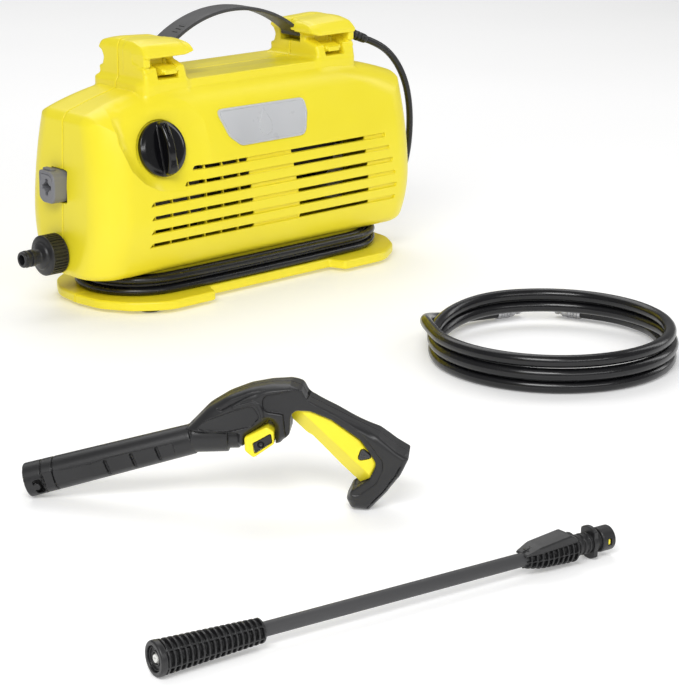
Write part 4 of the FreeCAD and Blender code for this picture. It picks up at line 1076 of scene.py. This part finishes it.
def trigger_lock(p, y, q):
    thickness = slab(y, -TRIGGER_HALF_WIDTH - 0.8, TRIGGER_HALF_WIDTH - 2.2)
    slide = cut_to(polygon(p, q, LOCK_OUTLINE), thickness, 0.8)
    grips = overlap(abs((q + 0.2 * p) % 2.2 - 1.1) - 0.35, y + TRIGGER_HALF_WIDTH + 0.4)
    return carve(slide, overlap(grips, polygon(p, q, LOCK_OUTLINE) + 1.4), 0.1)


def hose_clip(p, y, q):
    """Release clip: rounded frame round the hose socket, open below for the plug."""
    frame = cut_to(polygon(p, q, CLIP_OUTER), abs(y) - 14.4, 1.6)
    window = polygon(p, q, CLIP_INNER)
    frame = minus(frame, window)
    below = block(p, y, q, (170, -11, 30), (182, 11, 58), 1.0)
    return minus(frame, below)


def valve_block(p, y, q):
    upper = block(p, y, q, (178, -8, 69.5), (189.5, 8, 77), 0.8)
    pipe = cut_to(np.hypot(y, q - 73) - 3.5, slab(p, 150, 180), 0.6)
    return minus(union(upper, pipe), np.hypot(p - 185.5, y) - 2.1)


def hose_socket(p, y, q):
    """Block that the hose plugs into, with a dimple in each side."""
    body = cut_to(polygon(p, q, CLIP_INNER) + 0.35, abs(y) - 13.4, 0.6)
    body = minus(body, np.hypot(p - 176, y) - 5.2)
    dimple = np.hypot(np.hypot(p - 176.6, q - 51.6), abs(y) - 13.6) - 2.6
    return carve(body, dimple, 0.3)


def add_gun():
    rows = (
        ("gun_shell_near", gun_near, (-12, -21, -2), (290, 3, 101), 0.85, BLACK, "gun",
         "gun_housing_left", 0.6),
        ("gun_shell_far", gun_far, (-12, -3, -2), (290, 21, 101), 1.0, BLACK, "gun",
         "gun_housing_right", 0.6),
        ("trigger_lever", trigger, (180, -15, 16), (266, 15, 93), 0.75, YELLOW, "trigger",
         "gun_trigger", 1.0),
        ("lock_slider", trigger_lock, (245, -12, 37), (263, 9, 53), 0.5, DARK_GREY, "trigger_lock",
         "gun_lock", 1.0),
        ("release_clip", hose_clip, (161, -16, 38), (193, 16, 71), 0.6, YELLOW, "hose_clip",
         "gun_hose_clip", 1.0),
        ("valve_block", valve_block, (147, -10, 67), (193, 10, 79), 0.7, BRASS, "gun", "gun_valve_body",
         1.0),
        ("hose_socket", hose_socket, (166, -15, 40), (188, 15, 65), 0.55, BLACK, "gun",
         "gun_valve_body", 1.0),
    )
    for name, field, low, high, step, material, body, node, keep in rows:
        piece = sculpt(name, field, low, high, step, material, keep, GUN_ORIGIN, GUN_TURN)
        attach(piece, body)
        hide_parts(node)


add_gun()


# ---- spray lance
def lance_sleeve(x, y, z):
    """Tapered jacket with rings joined by lengthwise ribs, and a stepped nozzle face."""
    away = np.hypot(y, z - LANCE_Z)
    angle = np.arctan2(z - LANCE_Z, y)
    outer = 11.9 - 3.5 * x / 78
    core = overlap(away - outer + 3.0, slab(x, 1, 78))
    rings = abs((x - 6.0 + 2.075) % 4.15 - 2.075) - 0.75
    ring = cut_to(overlap(away - outer, rings), slab(x, 4, 78), 0.4)
    sector = math.radians(60)
    strips = abs((angle + math.radians(12)) % sector - sector / 2) * away - 0.6
    strip = overlap(away - outer + 0.15, strips, slab(x, 4, 77.5))
    head = cut_to(away - 11.9, slab(x, 0, 5), 1.4)
    body = union(core, head, ring, strip)
    body = carve(body, overlap(away - 8.6, x - 3.2), 0.6)
    lip = cut_to(abs(away - 7.6) - 0.5, slab(x, 1.2, 6), 0.3)
    plate = cut_to(overlap(away - 8, 3.9 - away), slab(x, 2.4, 3.2), 0.2)
    ridge = cut_to(abs(away - 4.6) - 0.5, slab(x, 1.6, 3.2), 0.2)
    body = minus(body, overlap(away - 7.0, x - 20.3))
    return union(body, lip, plate, ridge)


def nozzle(x, y, z):
    """White nozzle insert with one step and a small jet hole."""
    away = np.hypot(y, z - LANCE_Z)
    body = cut_to(away - 6.8, slab(x, 3.4, 20), 0.5)
    nose = cut_to(away - 2.8, slab(x, 1.0, 8), 0.5)
    body = union(body, nose)
    return minus(body, overlap(away - 1.0, x - 9))


WING = [(287, 15.6, 0.5), (289, 17.2, 2), (299, 21, 8), (326, 24.2, 2), (332.5, 20.6, 2), (332, 17.2, 0.5)]


def collar(x, y, z):
    """Ribbed collar with a flat wing on top, grooved neck, bayonet lugs and round head."""
    away = np.hypot(y, z - LANCE_Z)
    angle = np.arctan2(z - LANCE_Z, y)
    grow = smooth((x - 286) / 20)
    outer = 7.0 + 2.4 * grow + 0.045 * (x - 300)
    core = cut_to(away - outer + 2.7, slab(x, 287, 331), 1.2)
    rings = overlap(abs((x - 290) % 4.3 - 2.15) - 0.6, slab(x, 289, 331.5))
    ring = overlap(away - outer, rings)
    sector = math.radians(45)
    strips = abs((angle + math.radians(20)) % sector - sector / 2) * away - 0.45
    strip = overlap(away - outer, strips, slab(x, 289, 331))
    body = union(core, ring, strip)
    wing_side = polygon(x, z, WING)
    wing = cut_to(wing_side, abs(y) - 8.2 + 1.6 * smooth((300 - x) / 14), 1.2)
    body = union(body, wing)
    neck = cut_to(away - 6.7, slab(x, 330, 356), 0.6)
    seals = overlap(abs((x - 334) % 4.4 - 2.2) - 1.1, slab(x, 333.5, 345.5))
    seals = cut_to(away - 7.8, seals, 0.5)
    lugs = cut_to(away - 12.0, slab(x, 346.8, 350.4), 0.8)
    lugs = overlap(lugs, abs(y) - 7.6)
    ring_two = cut_to(away - 8.8, slab(x, 346.8, 350.4), 0.6)
    head = cut_to(away - 9.0, slab(x, 354.6, 366), 1.2)
    tail = union(neck, seals, lugs, ring_two, head)
    window = block(x, y, z, (359, -12, 9.6), (362.2, -7.0, 14.4), 0.5)
    tail = minus(tail, window)
    tail = minus(tail, overlap(away - 3.4, 330 - x))
    return union(body, tail)


def tube_field(x, y, z):
    away = np.hypot(y, z - LANCE_Z)
    return overlap(cut_to(away - 5.0, slab(x, 24, 306), 0.5), 3.4 - away)


def seal_mark(x, y, z):
    """Yellow seal that shows in the small window of the lance head."""
    away = np.hypot(y, z - LANCE_Z)
    ring = overlap(abs(away - 7.9) - 0.5, abs(z - LANCE_Z) - 2.0)
    return cut_to(ring, overlap(slab(x, 359.4, 361), y), 0.1)


def add_lance():
    rows = (
        ("lance_jacket", lance_sleeve, (-1, -13, -1), (80, 13, 25), 0.55, BLACK, 0.8, ("lance_sleeve",)),
        ("lance_jet", nozzle, (0, -8, 4), (21, 8, 20), 0.5, WHITE, 1.0, ("lance_nozzle",)),
        ("lance_bayonet_collar", collar, (283, -14, -1), (368, 14, 26), 0.55, BLACK, 0.8,
         ("lance_collar",)),
        ("lance_pipe", tube_field, (22, -6, 6), (308, 6, 18), 0.7, DARK_GREY, 0.35, ("lance_tube",)),
        ("lance_seal", seal_mark, (358, -10, 8), (363, 0, 16), 0.35, YELLOW, 1.0, ()),
    )
    for name, field, low, high, step, material, keep, nodes in rows:
        piece = sculpt(name, field, low, high, step, material, keep, LANCE_ORIGIN, LANCE_TURN)
        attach(piece, "lance")
        if nodes:
            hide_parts(*nodes)


add_lance()


# ---- floor and light
def add_floor():
    mesh = bpy.data.meshes.new("floor")
    mesh.from_pydata([(-9, -9, 0), (9, -9, 0), (9, 9, 0), (-9, 9, 0)], [], [(0, 1, 2, 3)])
    floor = link("floor", mesh)
    material, tree, shader, coords = new_material("pale_floor")
    tint = noise(tree, coords, 1.2, 2.0)
    tree.links.new(ramp(tree, tint, grey(0.86), grey(0.90)), shader.inputs["Base Color"])
    shader.inputs["Roughness"].default_value = 0.55
    shader.inputs["Emission Color"].default_value = (1, 1, 1, 1)
    shader.inputs["Emission Strength"].default_value = 0.21
    mesh.materials.append(material)


def add_area(name, place, aim, size, power):
    data = bpy.data.lights.new(name, "AREA")
    data.shape = "RECTANGLE"
    data.size, data.size_y = size
    data.energy = power
    lamp = bpy.data.objects.new(name, data)
    lamp.location = place
    lamp.rotation_euler = (Vector(aim) - Vector(place)).to_track_quat("-Z", "Y").to_euler()
    bpy.context.scene.collection.objects.link(lamp)


def add_light():
    world = bpy.data.worlds.new("studio")
    bpy.context.scene.world = world
    world.use_nodes = True
    world.node_tree.nodes["Background"].inputs["Color"].default_value = (1, 1, 1, 1)
    world.node_tree.nodes["Background"].inputs["Strength"].default_value = 0.28
    add_area("key", (-1.7, -1.5, 1.7), (0, -0.2, 0.1), (1.3, 0.8), 37)
    add_area("top", (0.7, 1.3, 2.3), (0.5, 0.7, 0), (2.6, 2.2), 36)
    add_area("strip", (-0.5, -2.4, 1.0), (0, -0.4, 0.1), (1.8, 0.25), 9)
    add_area("side", (1.8, -0.9, 1.1), (0, -0.3, 0.1), (0.5, 1.6), 8)
    bpy.context.scene.view_settings.view_transform = "Standard"


add_floor()
add_light()
